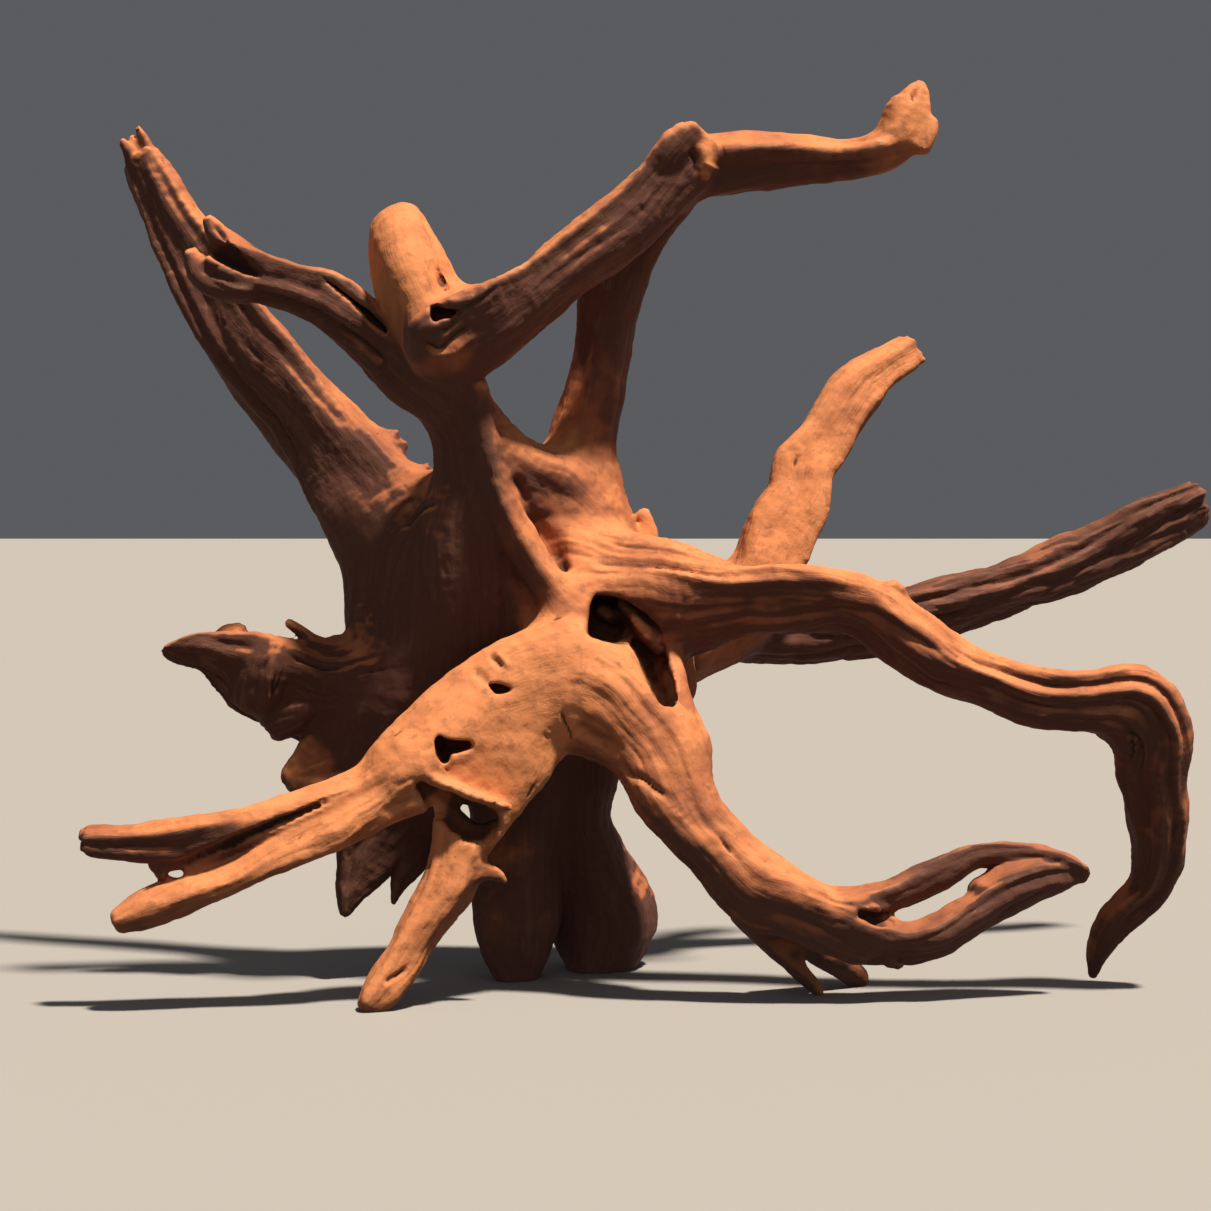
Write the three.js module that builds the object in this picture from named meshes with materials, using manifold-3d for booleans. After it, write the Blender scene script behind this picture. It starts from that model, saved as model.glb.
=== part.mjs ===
// A large piece of spider wood: a root crown with limbs that fork, hook and run down to its feet.
// Millimetres. X runs to the right, Y away from the viewer and Z up, and the feet rest on Z = 0.
// The part's origin lies on the floor under the middle of the whole piece.
import * as THREE from 'three';
import { mergeVertices } from 'three/addons/utils/BufferGeometryUtils.js';
import Module from 'manifold-3d';

const wasm = await Module();
wasm.setup();

// The clearance left where one piece of the wood meets the next.
const JOINT_GAP = 0.35;
// Facets: the distance between the rings of a limb and the width of one side, with limits on the sides.
const RING_SPACING = 26;
const FACET_WIDTH = 16;
const FEWEST_SIDES = 6;
const MOST_SIDES = 11;
// Relief: how many ridges and flutes run round a limb, how far they and its swellings rise as shares
// of its radius, and how far along it they take to turn or swell by one radian.
const RIDGES = 3;
const FLUTES = 4;
const RIDGE_HEIGHT = 0.075;
const FLUTE_HEIGHT = 0.05;
const SWELLING_HEIGHT = 0.05;
const RIDGE_TWIST = 34;
const FLUTE_TWIST = 26;
const SWELLING_LENGTH = 12;
// The three waves start apart, so that they never fall in step.
const FLUTE_SHIFT = 2.3;
const SWELLING_SHIFT = 1.7;
// Ends: a worn end is a half ball, a broken one is short and blunt.
const END_RINGS = [0.75];
const BROKEN_END = 0.35;
// How tightly a limb's curve follows its stations, and how near two corners are to be one.
const CURVE_TENSION = 0.5;
const SAME_POINT = 1e-4;

// Stations are measured from a point on the floor under the crown. This brings them to the origin.
const TO_ORIGIN = new THREE.Vector3(-1, -27, 0);

// Every limb is a list of stations [x, y, z, half width, half depth] from its base to its tip.
// The width lies across the limb as seen from the front, the depth runs from front to back.
// Where a limb has a stem, that is the station at which it is parted from the piece it grows from.

const crownBody = [
  { stations: [[-134, -8, 283, 28, 28], [-144, 2, 263, 45, 38], [-149, 8, 236, 48, 43],
    [-152, 10, 200, 52, 46], [-158, 10, 167, 56, 44], [-174, 8, 130, 45, 32]] },
  { stations: [[-56, -2, 302, 24, 25], [-62, -4, 272, 31, 36], [-62, -8, 236, 47, 44],
    [-52, -12, 200, 54, 42], [-44, -16, 168, 54, 33]] },
  { stations: [[-127, 36, 254, 46, 36], [-97, 46, 210, 59, 42], [-47, 52, 198, 46, 37],
    [-5, 62, 200, 25, 28]] },
];
const saddle = { stations: [[-108, -50, 324, 8, 12], [-97, -42, 310, 15, 18], [-76, -24, 295, 21, 22],
  [-56, -14, 269, 21, 22]] };
const frontRidge = { stations: [[-53, -56, 208, 13, 17], [-82, -60, 249, 10, 13],
  [-98, -64, 276, 8, 11], [-109, -68, 306, 6, 9], [-117, -70, 353, 4, 6]], stem: 3 };
const stub = { stations: [[-197, -2, 206, 10, 12], [-213, -8, 206, 7, 8], [-224, -12, 210, 4, 5.5],
  [-233, -14, 214, 3, 4]] };
const thorn = { stations: [[-17, 2, 252, 11, 9], [-16, 6, 266, 7, 6], [-17, 6, 277, 4.5, 4],
  [-21, 6, 287, 2, 2]] };

const plateTop = { stations: [[-47, -66, 194, 26, 22], [-82, -80, 186, 29, 20],
  [-111, -88, 172, 26, 18], [-139, -94, 153, 22, 18], [-163, -100, 136, 18, 17]] };
const plateFall = { stations: [[-92, -76, 180, 24, 12], [-104, -88, 149, 30, 16],
  [-115, -92, 119, 24, 15], [-119, -93, 108, 18, 12]] };

const leftPost = { stations: [[-118, -20, 222, 28, 28], [-121, -32, 264, 30, 30],
  [-119, -40, 308, 25, 25], [-128, -48, 343, 19, 20], [-132, -52, 364, 16, 17]], stem: 2 };
const knob = { stations: [[-136, -76, 380, 25, 24], [-147, -77, 400, 23, 23], [-155, -75, 420, 22, 21],
  [-161, -64, 440, 19, 19], [-165, -56, 451, 14.5, 14.5]], stem: 1 };
const beam = { stations: [[-136, -78, 379, 24, 23], [-116, -80, 391, 23, 20], [-92, -76, 405, 18, 18],
  [-66, -70, 425, 17, 17], [-34, -62, 449, 18, 17], [-9, -54, 475, 17, 17],
  [6, -46, 491, 17, 17]], stem: 2 };
const leftArm = { stations: [[-137, -62, 352, 18, 18], [-158, -58, 366, 19, 17],
  [-179, -54, 385, 16, 16], [-203, -54, 404, 16, 16], [-221, -58, 412, 14, 14],
  [-241, -64, 418, 14, 14], [-259, -71, 424, 16, 14], [-267, -74, 429, 15, 13]], stem: 1, broken: true };
const leftArmUpperPoint = { stations: [[-257, -73, 431, 10, 11], [-267, -76, 441, 8, 9],
  [-274, -78, 452, 3.5, 4]] };
const leftArmLowerPoint = { stations: [[-257, -71, 417, 11, 11], [-271, -74, 417, 9, 9],
  [-282, -77, 414, 4, 4.5]] };
const middlePost = { stations: [[-62, -6, 254, 33, 33], [-61, -4, 296, 25, 26], [-55, -2, 336, 20, 20],
  [-47, -4, 372, 17, 18], [-41, -10, 408, 17, 18], [-30, -18, 440, 17, 18], [-13, -28, 466, 17, 17],
  [5, -36, 486, 15, 16]], stem: 2 };
const topBranch = { stations: [[6, -36, 488, 20, 18], [21, -36, 489, 20, 17], [39, -36, 491, 19, 16],
  [62, -38, 492, 16, 14], [92, -42, 491, 12, 12], [116, -46, 494, 13, 12], [130, -47, 501, 13, 12],
  [135, -47, 514, 13, 11], [140, -46, 529, 11, 9]], stem: 1 };

const upperLeftRoot = { stations: [[-157, 16, 242, 33, 35], [-180, 26, 275, 35, 30],
  [-205, 37, 311, 29, 23], [-228, 46, 339, 26, 22], [-250, 54, 366, 25, 21], [-275, 61, 396, 24, 20],
  [-295, 67, 429, 21, 18], [-313, 72, 458, 19, 16], [-327, 76, 485, 16, 13],
  [-335, 78, 501, 12, 10]], stem: 2, broken: true };
const upperLeftPoints = [
  { stations: [[-335, 77, 494, 6, 7], [-341, 76, 508, 4, 5], [-346, 75, 515, 2, 3]] },
  { stations: [[-333, 79, 498, 6, 7], [-338, 80, 512, 4, 5], [-341, 80, 518, 2, 3]] },
  { stations: [[-325, 78, 496, 6, 7], [-332, 78, 514, 4, 5], [-336, 78, 523, 2, 3]] },
];
const flange = { stations: [[-186, 38, 298, 17, 15], [-179, 39, 315, 10, 9],
  [-174, 39, 328, 3.5, 3.5]] };
const shoulder = { stations: [[-160, 18, 280, 22, 22], [-158, 26, 299, 13, 13], [-156, 30, 311, 5, 5]] };
const upperRightRoot = { stations: [[2, 60, 204, 25, 25], [34, 64, 221, 25, 23], [52, 67, 242, 23, 21],
  [64, 74, 272, 21, 18], [73, 80, 291, 19, 17], [78, 86, 310, 20, 17], [91, 92, 325, 18, 16],
  [103, 100, 345, 16, 14], [115, 108, 361, 17, 14], [131, 118, 374, 13, 12],
  [151, 129, 386, 11, 10]], stem: 2, broken: true };
const farRightRoot = { stations: [[-29, 54, 204, 22, 25], [25, 82, 208, 17, 20], [73, 104, 206, 18, 18],
  [119, 118, 210, 18, 18], [153, 128, 219, 19, 18], [186, 137, 225, 19, 18], [213, 145, 233, 17, 17],
  [248, 154, 244, 17, 16], [285, 164, 260, 18, 16], [310, 171, 273, 19, 17],
  [342, 181, 288, 16, 15]], stem: 2, broken: true };

const rightArm = { stations: [[-53, -22, 231, 45, 38], [-22, -34, 231, 39, 32], [9, -46, 229, 30, 26],
  [35, -52, 231, 22, 22], [64, -58, 232, 20, 20], [89, -62, 231, 20, 20], [112, -65, 224, 20, 20],
  [131, -68, 208, 19, 19], [154, -69, 195, 18, 18], [180, -70, 184, 16, 16], [208, -70, 174, 17, 17],
  [236, -69, 173, 19, 18], [264, -66, 173, 24, 21], [278, -63, 155, 23, 21], [278, -58, 129, 20, 19],
  [281, -53, 107, 18, 17], [283, -46, 81, 15, 15], [278, -38, 60, 12, 12], [262, -28, 42, 10, 10],
  [252, -20, 23, 7, 7], [249, -13, 5, 3, 3.5]], stem: 2 };
const armBump = { stations: [[110, -62, 231, 11, 11], [122, -62, 238, 8, 10], [130, -63, 233, 5.5, 6]] };

const rightLeg = { stations: [[-66, -66, 184, 25, 19], [-42, -74, 174, 33, 24], [-17, -83, 150, 31, 23],
  [-6, -89, 120, 24, 22], [7, -92, 102, 19, 21], [24, -94, 86, 19, 20], [43, -95, 69, 20, 21],
  [67, -95, 57, 19, 20], [86, -93, 48, 19, 20], [104, -91, 42, 19, 19]], stem: 2 };
const upperFinger = { stations: [[97, -90, 53, 13, 14], [122, -84, 61, 10, 11], [138, -80, 67, 11, 10],
  [155, -77, 74, 10, 9], [171, -75, 82, 8, 8], [188, -74, 84, 7, 8], [209, -74, 83, 6, 7],
  [226, -76, 76, 8, 8], [233, -77, 73, 4.5, 4.5]], stem: 1 };
const lowerFinger = { stations: [[104, -90, 39, 16, 17], [128, -88, 34, 12, 13], [148, -86, 37, 13, 14],
  [167, -83, 47, 13, 14], [186, -80, 58, 13, 14], [205, -78, 66, 12, 12], [223, -77, 70, 8, 8],
  [233, -77, 71, 4, 4.5]], stem: 1 };
const frontToe = { stations: [[38, -90, 51, 10, 13], [51, -82, 34, 8, 10], [64, -74, 20, 6, 8],
  [74, -68, 10, 5, 6], [81, -64, 2, 3.5, 5]], stem: 1 };
const rearToe = { stations: [[63, -72, 40, 12, 14], [83, -50, 25, 9, 10], [98, -34, 13, 8, 9],
  [107, -24, 5, 7, 8]], stem: 1 };

const leftLeg = { stations: [[-130, -93, 156, 17, 13], [-151, -98, 138, 21, 19],
  [-170, -103, 125, 18, 18], [-196, -109, 109, 17, 18], [-218, -115, 95, 14, 16],
  [-239, -120, 84, 11, 14], [-256, -123, 76, 10, 12], [-271, -126, 71, 10, 12],
  [-289, -129, 64, 11, 12], [-304, -132, 59, 11, 10], [-318, -134, 53, 7, 8]], stem: 2 };
const leftLegWeb = { stations: [[-245, -121, 92, 9, 6], [-262, -124, 86, 7, 5],
  [-281, -127, 80, 9, 5]] };
const leftLegProng = { stations: [[-173, -104, 128, 13, 14], [-193, -109, 122, 11, 12],
  [-210, -113, 116, 11, 12], [-245, -119, 104, 12, 12], [-278, -124, 96, 14, 13],
  [-302, -126, 96, 12, 12], [-320, -127, 96, 10, 10], [-336, -128, 96, 8, 9]], stem: 3, broken: true };
const frontLeg = { stations: [[-118, -92, 116, 15, 10], [-124, -96, 98, 17, 16],
  [-129, -100, 83, 15, 16], [-135, -104, 68, 15, 16], [-147, -110, 50, 13, 14],
  [-159, -117, 29, 12, 12], [-170, -122, 13, 11, 12], [-178, -125, 3, 8, 11]], stem: 2 };
const frontLegSpur = { stations: [[-124, -102, 75, 9, 11], [-112, -103, 75, 5.5, 7],
  [-103, -104, 75, 2.5, 3.5]] };
const rearFootLobes = [
  { stations: [[-96, 20, 144, 30, 30], [-98, 10, 96, 26, 29], [-99, 8, 54, 26, 31],
    [-98, 10, 27, 25, 33], [-95, 12, 6, 21, 30]], stem: 1 },
  { stations: [[-66, 28, 144, 31, 30], [-65, 36, 94, 25, 29], [-55, 46, 56, 28, 32],
    [-45, 54, 27, 34, 36], [-46, 58, 6, 27, 35]], stem: 1 },
];

const leftSpur = { stations: [[-171, 2, 170, 39, 30], [-207, -4, 175, 33, 21], [-232, -8, 179, 29, 16],
  [-250, -12, 185, 24, 13], [-265, -16, 193, 20, 10], [-282, -20, 199, 13, 8], [-298, -24, 200, 8, 4.5],
  [-307, -26, 200, 3.5, 2.5]], stem: 1 };
const leftLobe = { stations: [[-171, 6, 136, 30, 22], [-201, -2, 131, 26, 18], [-221, -8, 127, 17, 13],
  [-232, -12, 121, 10, 7]] };
const longSplinter = { stations: [[-173, 4, 121, 27, 16], [-179, 2, 97, 27, 13], [-188, -2, 76, 20, 10],
  [-197, -6, 57, 11, 6], [-201, -8, 41, 3, 2.5]], stem: 1 };
const shortSplinter = { stations: [[-154, 6, 109, 17, 14], [-159, 4, 88, 14, 11], [-164, 1, 70, 10, 8],
  [-169, -1, 58, 5, 4.5], [-172, -2, 47, 2, 2]], stem: 1 };

// Hollows are cut with plain limbs of the same kind.
const crownCavity = { stations: [[-51, -66, 232, 5, 12], [-46, -64, 219, 10, 16],
  [-41, -66, 206, 6, 12]] };
const legSlot = { stations: [[-24, -70, 196, 3, 30], [-15, -74, 182, 6, 32], [-7, -78, 169, 7, 32],
  [-1, -82, 157, 3, 26]] };
const plateHole = { stations: [[-140, -114, 149, 3, 8], [-132, -112, 147, 6.5, 14],
  [-123, -110, 147, 3, 10]] };
const platePit = { stations: [[-108, -104, 183, 3, 6], [-103, -104, 182, 4.5, 10],
  [-98, -102, 182, 2.5, 6]] };
const plateWindow = { stations: [[-126, -96, 112, 3, 40], [-118, -96, 109, 6, 40],
  [-108, -96, 108, 3, 40]] };
const knobHollow = { stations: [[-140, -95, 426, 3, 5], [-137, -92, 417, 4.5, 8],
  [-134, -90, 408, 2.5, 5]] };
const elbowHollow = { stations: [[-140, -101, 400, 3, 6], [-135, -98, 396, 5.5, 10],
  [-129, -96, 392, 3, 6]] };
const rootHole = { stations: [[98, 62, 356, 2.5, 6], [103, 66, 352, 3.5, 9], [109, 70, 349, 2, 6]] };

// The pieces in the order in which they are fitted: each gives way to the ones before it.
// Limbs are the piece's own, from their stems on, and holds lists the limbs whose stems it carries.
const PIECES = [
  { name: 'crown', colour: 0xa3613a,
    limbs: [...crownBody, saddle, stub, thorn, leftLobe, flange, shoulder],
    holds: [frontRidge, leftPost, middlePost, upperLeftRoot, upperRightRoot, farRightRoot, rightArm,
      ...rearFootLobes, leftSpur, longSplinter, shortSplinter],
    hollows: [crownCavity, legSlot] },
  { name: 'front_plate', colour: 0xb87244, limbs: [plateTop, plateFall],
    holds: [rightLeg, leftLeg, frontLeg],
    hollows: [plateHole, platePit, plateWindow, legSlot] },
  { name: 'left_post', colour: 0xa0603a, limbs: [leftPost, frontRidge], holds: [knob, beam, leftArm],
    hollows: [elbowHollow] },
  { name: 'knob', colour: 0xbd7a4c, limbs: [knob], hollows: [knobHollow, elbowHollow] },
  { name: 'beam', colour: 0xa86840, limbs: [beam], holds: [topBranch] },
  { name: 'left_arm', colour: 0x9a5b38, limbs: [leftArm, leftArmUpperPoint, leftArmLowerPoint] },
  { name: 'middle_post', colour: 0xa46440, limbs: [middlePost] },
  { name: 'top_branch', colour: 0xb5764a, limbs: [topBranch] },
  { name: 'upper_left_root', colour: 0xa3623c, limbs: [upperLeftRoot, ...upperLeftPoints] },
  { name: 'far_right_root', colour: 0x8a5234, limbs: [farRightRoot] },
  { name: 'upper_right_root', colour: 0xb97c54, limbs: [upperRightRoot], hollows: [rootHole] },
  { name: 'right_arm', colour: 0xa8673f, limbs: [rightArm, armBump] },
  { name: 'right_leg', colour: 0xb06c42, limbs: [rightLeg],
    holds: [upperFinger, lowerFinger, frontToe, rearToe] },
  { name: 'lower_finger', colour: 0xa3623c, limbs: [lowerFinger] },
  { name: 'upper_finger', colour: 0xa3623c, limbs: [upperFinger] },
  { name: 'front_toe', colour: 0xa8663e, limbs: [frontToe] },
  { name: 'rear_toe', colour: 0xa8663e, limbs: [rearToe] },
  { name: 'left_leg', colour: 0xb06c42, limbs: [leftLeg, leftLegWeb], holds: [leftLegProng] },
  { name: 'left_leg_prong', colour: 0xa8663e, limbs: [leftLegProng] },
  { name: 'front_leg', colour: 0xb87448, limbs: [frontLeg, frontLegSpur] },
  { name: 'rear_foot', colour: 0x7e4a30, limbs: rearFootLobes },
  { name: 'left_spur', colour: 0x7a4730, limbs: [leftSpur] },
  { name: 'long_splinter', colour: 0x6e4230, limbs: [longSplinter] },
  { name: 'short_splinter', colour: 0x6e4230, limbs: [shortSplinter] },
];
const ROUGHNESS = 0.82;

// A limb's radius is swelled and fluted by three slow waves, so that no two sections are alike.
// Around is the angle about the limb, along is the distance from its base and phase is the limb's own.
function relief(around, along, phase) {
  const ridge = RIDGE_HEIGHT * Math.sin(RIDGES * around + along / RIDGE_TWIST + phase);
  const flute = FLUTE_HEIGHT * Math.sin(FLUTES * around - along / FLUTE_TWIST + FLUTE_SHIFT * phase);
  const swelling = SWELLING_HEIGHT * Math.sin(along / SWELLING_LENGTH + SWELLING_SHIFT * phase);
  return 1 + ridge + flute + swelling;
}

// The sections of a limb in order: centre, direction, half width, half depth and distance from the base.
// Those up to the limb's stem are marked low, and those from it on high, so that the stem's own is both.
function sectionsOf(limb) {
  const stations = limb.stations;
  const spans = stations.length - 1;
  const stem = limb.stem ?? 0;
  const places = stations.map(([x, y, z]) => new THREE.Vector3(x, y, z).add(TO_ORIGIN));
  const sizes = stations.map(([, , , width, depth]) => new THREE.Vector3(width, depth, 0));
  const line = new THREE.CatmullRomCurve3(places, false, 'catmullrom', CURVE_TENSION);
  const girth = new THREE.CatmullRomCurve3(sizes, false, 'catmullrom', CURVE_TENSION);
  const sections = [];
  let along = 0;
  let previous = null;
  const add = (place) => {
    const centre = line.getPoint(place / spans);
    const size = girth.getPoint(place / spans);
    along += previous ? centre.distanceTo(previous) : 0;
    previous = centre;
    const direction = line.getTangent(place / spans);
    const sides = { low: place <= stem, high: place >= stem };
    sections.push({ centre, direction, width: size.x, depth: size.y, along, ...sides });
  };
  for (let span = 0; span < spans; span += 1) {
    const start = line.getPoint(span / spans);
    const end = line.getPoint((span + 1) / spans);
    const steps = Math.max(1, Math.round(start.distanceTo(end) / RING_SPACING));
    for (let step = 0; step < steps; step += 1) {
      add(span + step / steps);
    }
  }
  add(spans);
  return sections;
}

// The end past a section: rings that shrink along a quarter circle, shorter where the end is broken.
function endOf(section, forward, reach) {
  const length = reach * Math.min(section.width, section.depth);
  return END_RINGS.map((share) => ({
    ...section,
    centre: section.centre.clone().addScaledVector(section.direction, forward * length * share),
    width: section.width * Math.sqrt(1 - share * share),
    depth: section.depth * Math.sqrt(1 - share * share),
  }));
}

// The rings of a limb from its stem on, or of the stem alone, which is flat where the limb is parted.
function ringsOf(limb, stemOnly) {
  const sections = sectionsOf(limb);
  const base = endOf(sections[0], -1, 1).reverse();
  const tip = endOf(sections[sections.length - 1], 1, limb.broken ? BROKEN_END : 1);
  if (stemOnly) {
    return [...base, ...sections.filter((section) => section.low)];
  }
  if (!limb.stem) {
    return [...base, ...sections, ...tip];
  }
  const upper = sections.filter((section) => section.high);
  upper[0].centre.addScaledVector(upper[0].direction, JOINT_GAP);
  return [...upper, ...tip];
}

// A limb or its stem: a cylinder bent along its rings, with its radius grown by extra.
function limbSolid(limb, extra, stemOnly = false) {
  const rings = ringsOf(limb, stemOnly);
  const phase = limb.stations[0][0] + limb.stations[0][2];
  const widest = Math.max(...limb.stations.map(([, , , width]) => width));
  const wanted = Math.ceil((2 * Math.PI * widest) / FACET_WIDTH);
  const sides = Math.min(MOST_SIDES, Math.max(FEWEST_SIDES, wanted));
  const tube = new THREE.CylinderGeometry(1, 1, 1, sides, rings.length - 1);
  const spots = tube.getAttribute('position');
  const backward = new THREE.Vector3(0, 1, 0);
  for (let i = 0; i < spots.count; i += 1) {
    const ring = rings[Math.round((0.5 - spots.getY(i)) * (rings.length - 1))];
    const reach = Math.hypot(spots.getX(i), spots.getZ(i));
    const around = Math.atan2(spots.getX(i), spots.getZ(i));
    const deep = backward.clone().addScaledVector(ring.direction, -ring.direction.y).normalize();
    const across = new THREE.Vector3().crossVectors(ring.direction, deep);
    const swell = relief(around, ring.along, phase);
    const spot = ring.centre.clone();
    spot.addScaledVector(deep, reach * (ring.depth * swell + extra) * Math.sin(around));
    spot.addScaledVector(across, reach * (ring.width * swell + extra) * Math.cos(around));
    spots.setXYZ(i, spot.x, spot.y, spot.z);
  }
  return solidOf(tube);
}

// A closed geometry as a solid that can be joined and cut.
function solidOf(geometry) {
  geometry.deleteAttribute('normal');
  geometry.deleteAttribute('uv');
  const merged = mergeVertices(geometry, SAME_POINT);
  return new wasm.Manifold(new wasm.Mesh({
    numProp: 3,
    vertProperties: new Float32Array(merged.getAttribute('position').array),
    triVerts: new Uint32Array(merged.index.array),
  }));
}

// A piece before it is cut: its own limbs joined with the stems that it holds.
function joined(piece, extra) {
  const own = piece.limbs.map((limb) => limbSolid(limb, extra));
  const stems = (piece.holds ?? []).map((limb) => limbSolid(limb, extra, true));
  return [...own, ...stems].reduce((sum, solid) => sum.add(solid));
}

// Only the largest body of a cut piece is kept, so that no chip is left beside it.
function largestOf(solid) {
  return solid.decompose().reduce((best, body) => (body.volume() > best.volume() ? body : best));
}

function meshOf(piece, solid) {
  const { vertProperties, triVerts } = solid.getMesh();
  const geometry = new THREE.BufferGeometry();
  geometry.setAttribute('position', new THREE.BufferAttribute(new Float32Array(vertProperties), 3));
  geometry.setIndex(new THREE.BufferAttribute(new Uint32Array(triVerts), 1));
  const finish = { color: piece.colour, roughness: ROUGHNESS, metalness: 0 };
  const mesh = new THREE.Mesh(geometry, new THREE.MeshStandardMaterial(finish));
  mesh.name = piece.name;
  return mesh;
}

const spiderWood = new THREE.Group();
spiderWood.name = 'spider_wood';
const fitted = [];
for (const piece of PIECES) {
  const holes = (piece.hollows ?? []).map((hollow) => limbSolid(hollow, 0));
  let solid = joined(piece, 0);
  for (const cutter of [...holes, ...fitted]) {
    solid = solid.subtract(cutter);
  }
  solid = largestOf(solid.trimByPlane([0, 0, 1], 0));
  fitted.push(joined(piece, JOINT_GAP));
  spiderWood.add(meshOf(piece, solid));
}

export default spiderWood;
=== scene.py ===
import math

import bpy
import numpy as np
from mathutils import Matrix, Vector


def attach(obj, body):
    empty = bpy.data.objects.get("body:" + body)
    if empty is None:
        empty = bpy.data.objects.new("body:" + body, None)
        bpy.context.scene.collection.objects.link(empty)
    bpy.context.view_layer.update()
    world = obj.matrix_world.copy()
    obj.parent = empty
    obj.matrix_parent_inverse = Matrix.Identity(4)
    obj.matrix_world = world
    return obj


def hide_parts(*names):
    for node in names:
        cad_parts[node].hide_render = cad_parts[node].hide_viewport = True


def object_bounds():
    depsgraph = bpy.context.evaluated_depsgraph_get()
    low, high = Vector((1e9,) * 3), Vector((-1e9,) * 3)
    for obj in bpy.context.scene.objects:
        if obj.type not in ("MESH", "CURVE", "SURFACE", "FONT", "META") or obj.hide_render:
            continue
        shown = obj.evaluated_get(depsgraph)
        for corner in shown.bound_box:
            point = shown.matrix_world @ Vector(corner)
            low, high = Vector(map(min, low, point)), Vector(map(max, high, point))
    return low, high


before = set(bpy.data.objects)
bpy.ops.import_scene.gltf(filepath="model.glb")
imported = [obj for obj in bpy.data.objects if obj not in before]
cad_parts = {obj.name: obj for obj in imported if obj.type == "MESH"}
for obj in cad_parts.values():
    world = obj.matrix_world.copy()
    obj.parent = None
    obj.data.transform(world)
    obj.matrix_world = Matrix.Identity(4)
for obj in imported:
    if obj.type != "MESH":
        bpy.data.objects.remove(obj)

SOLID_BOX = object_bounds()

MM = 0.001
SEED = 4051
# The field's cells, how far past a limb the field is worked out, and the steps along a limb's line.
CELL = 2.4
REACH = 32.0
STEP = 7.0
# Stations are measured from a point on the floor under the crown. This brings them to the origin.
TO_ORIGIN = np.array([-1.0, -27.0, 0.0])

# The limbs' slow relief, as in the solids but with lower swellings.
RIDGES, FLUTES = 3, 4
RIDGE_HEIGHT, FLUTE_HEIGHT, SWELLING_HEIGHT = 0.075, 0.05, 0.02
RIDGE_TWIST, FLUTE_TWIST, SWELLING_LENGTH = 34.0, 26.0, 12.0
FLUTE_SHIFT, SWELLING_SHIFT = 2.3, 1.7
# Ends, as shares of the least half size: how far a worn end and a broken end reach past the limb.
WORN_END, BROKEN_END = 0.75, 0.35
# A broken end's steps and their size across, and how far back from the last station it may bite.
JAG, BITE = 5, 25

# The fine relief: length, width and height of the furrows, then of each size of lump its length,
# its height and where in the noise it is taken.
WIDE, MIDDLE, NARROW = (140, 12, 2.4), (75, 5.6, 1.1), (34, 2.7, 0.35)
LUMPS = ((44, 1.1, 0, 5), (20, 0.8, 5, 0), (9, 0.45, 0, 0), (4.5, 0.2, 5, 0))
# How far from a limb its relief still counts, and the distance over which it fades.
RELIEF_REACH, RELIEF_FADE = 14, 3

# Settling: the longest step onto the field, the least slope that it divides by, the share of the way
# to the neighbours' mean that each round moves a point, and the rounds for the skin and the caps.
LONGEST_STEP, LEAST_SLOPE = 1.2, 0.2
SMOOTHING, SKIN_ROUNDS, CAP_ROUNDS = 0.6, 3, 16
# A point stands proud of, or lies deep in, the means taken over this many steps round it.
NEAR_ROUND, FAR_ROUND = 4, 24

# The crown's left lobe is parted level at this height, so that neither mesh grows too large.
CROWN_PARTED = 190.0

# The wood has three masses, which meet in much sharper folds than the limbs within each of them.
# What stands inside a hollow is grown after the hollows are cut.
MASS_BLEND = {"rear": 1.0, "elbow": 4.0, "front": 7.0, "inside": 4.0}

# The wood's colours, from freshly worn to long weathered, which the age also steps through as
# painted light and shade; its scuffed colour and the dark of its streaks; and the near-black
# painted shade where it lies deep.
YOUNG, GROWN, OLD = "#D98752", "#AC653E", "#5C3627"
SCUFFED, DEEP, HOLLOW_SHADE = "#E0A172", "#5C3528", "#20120D"

# The studio: its floor, in metres from the middle, and the light of the room.
FLOOR_REACH, FLOOR_COLOUR = 30, "#9E9A93"
ROOM_LIGHT, ROOM_STRENGTH = "#DFE2EA", 0.14

# The camera stands about where the photograph was taken from, and looks a little down.
CAMERA_PLACE = np.array([-45.0, -2043.0, 285.0])
CAMERA_DOWN = math.radians(1.655)
FOCAL_PIXELS, FRAME_PIXELS = 3340, 1211
SENSOR_WIDTH = 36.0


def limb(piece, *stations, stem=0, holder="", blend=14.0, fade=45.0, tip_blend=0.0, broken=False,
         groove=1.0, pits=1.0, twist=0.0, age_and_shade=(0.4, 0.4), square=2.0, lean=0.0, marks=(),
         mass="rear"):
    """One limb, from stations [x, y, z, half width, half depth] between its base and its tip.

    stem is the station at which the limb is parted from its holder. blend is how wide its fork is
    filled, which fades past the stem over fade. groove and pits say how deep its furrows and pits
    are, and twist how far its fibres turn, in radians for each metre. Its age says how dark the wood
    is at its base and at its tip, from 0 to 1: partly how far it has weathered, and partly painted
    shade on limbs that lie in shade and painted light on lit ones. Its section is an ellipse where
    square is 2 and a rounded box where it is more. lean slides the section's side that the width
    points to towards the viewer, by that share of its height, so that the front hangs over. A mark
    is a furrow or a crest along it: (degrees at its start, degrees at its end, height, half width,
    start, end), where 0 degrees is the side that the width points to and -90 the side that faces
    the viewer, and start and end are shares of the limb's length. mass names the masses that the
    limb is grown into.
    """
    return {"piece": piece, "stations": np.array(stations, float), "stem": stem, "holder": holder,
            "blend": blend, "fade": fade, "tip_blend": tip_blend, "broken": broken,
            "groove": groove, "pits": pits, "twist": twist, "age_and_shade": age_and_shade, "square": square,
            "lean": lean, "marks": marks, "mass": mass.split()}


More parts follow.
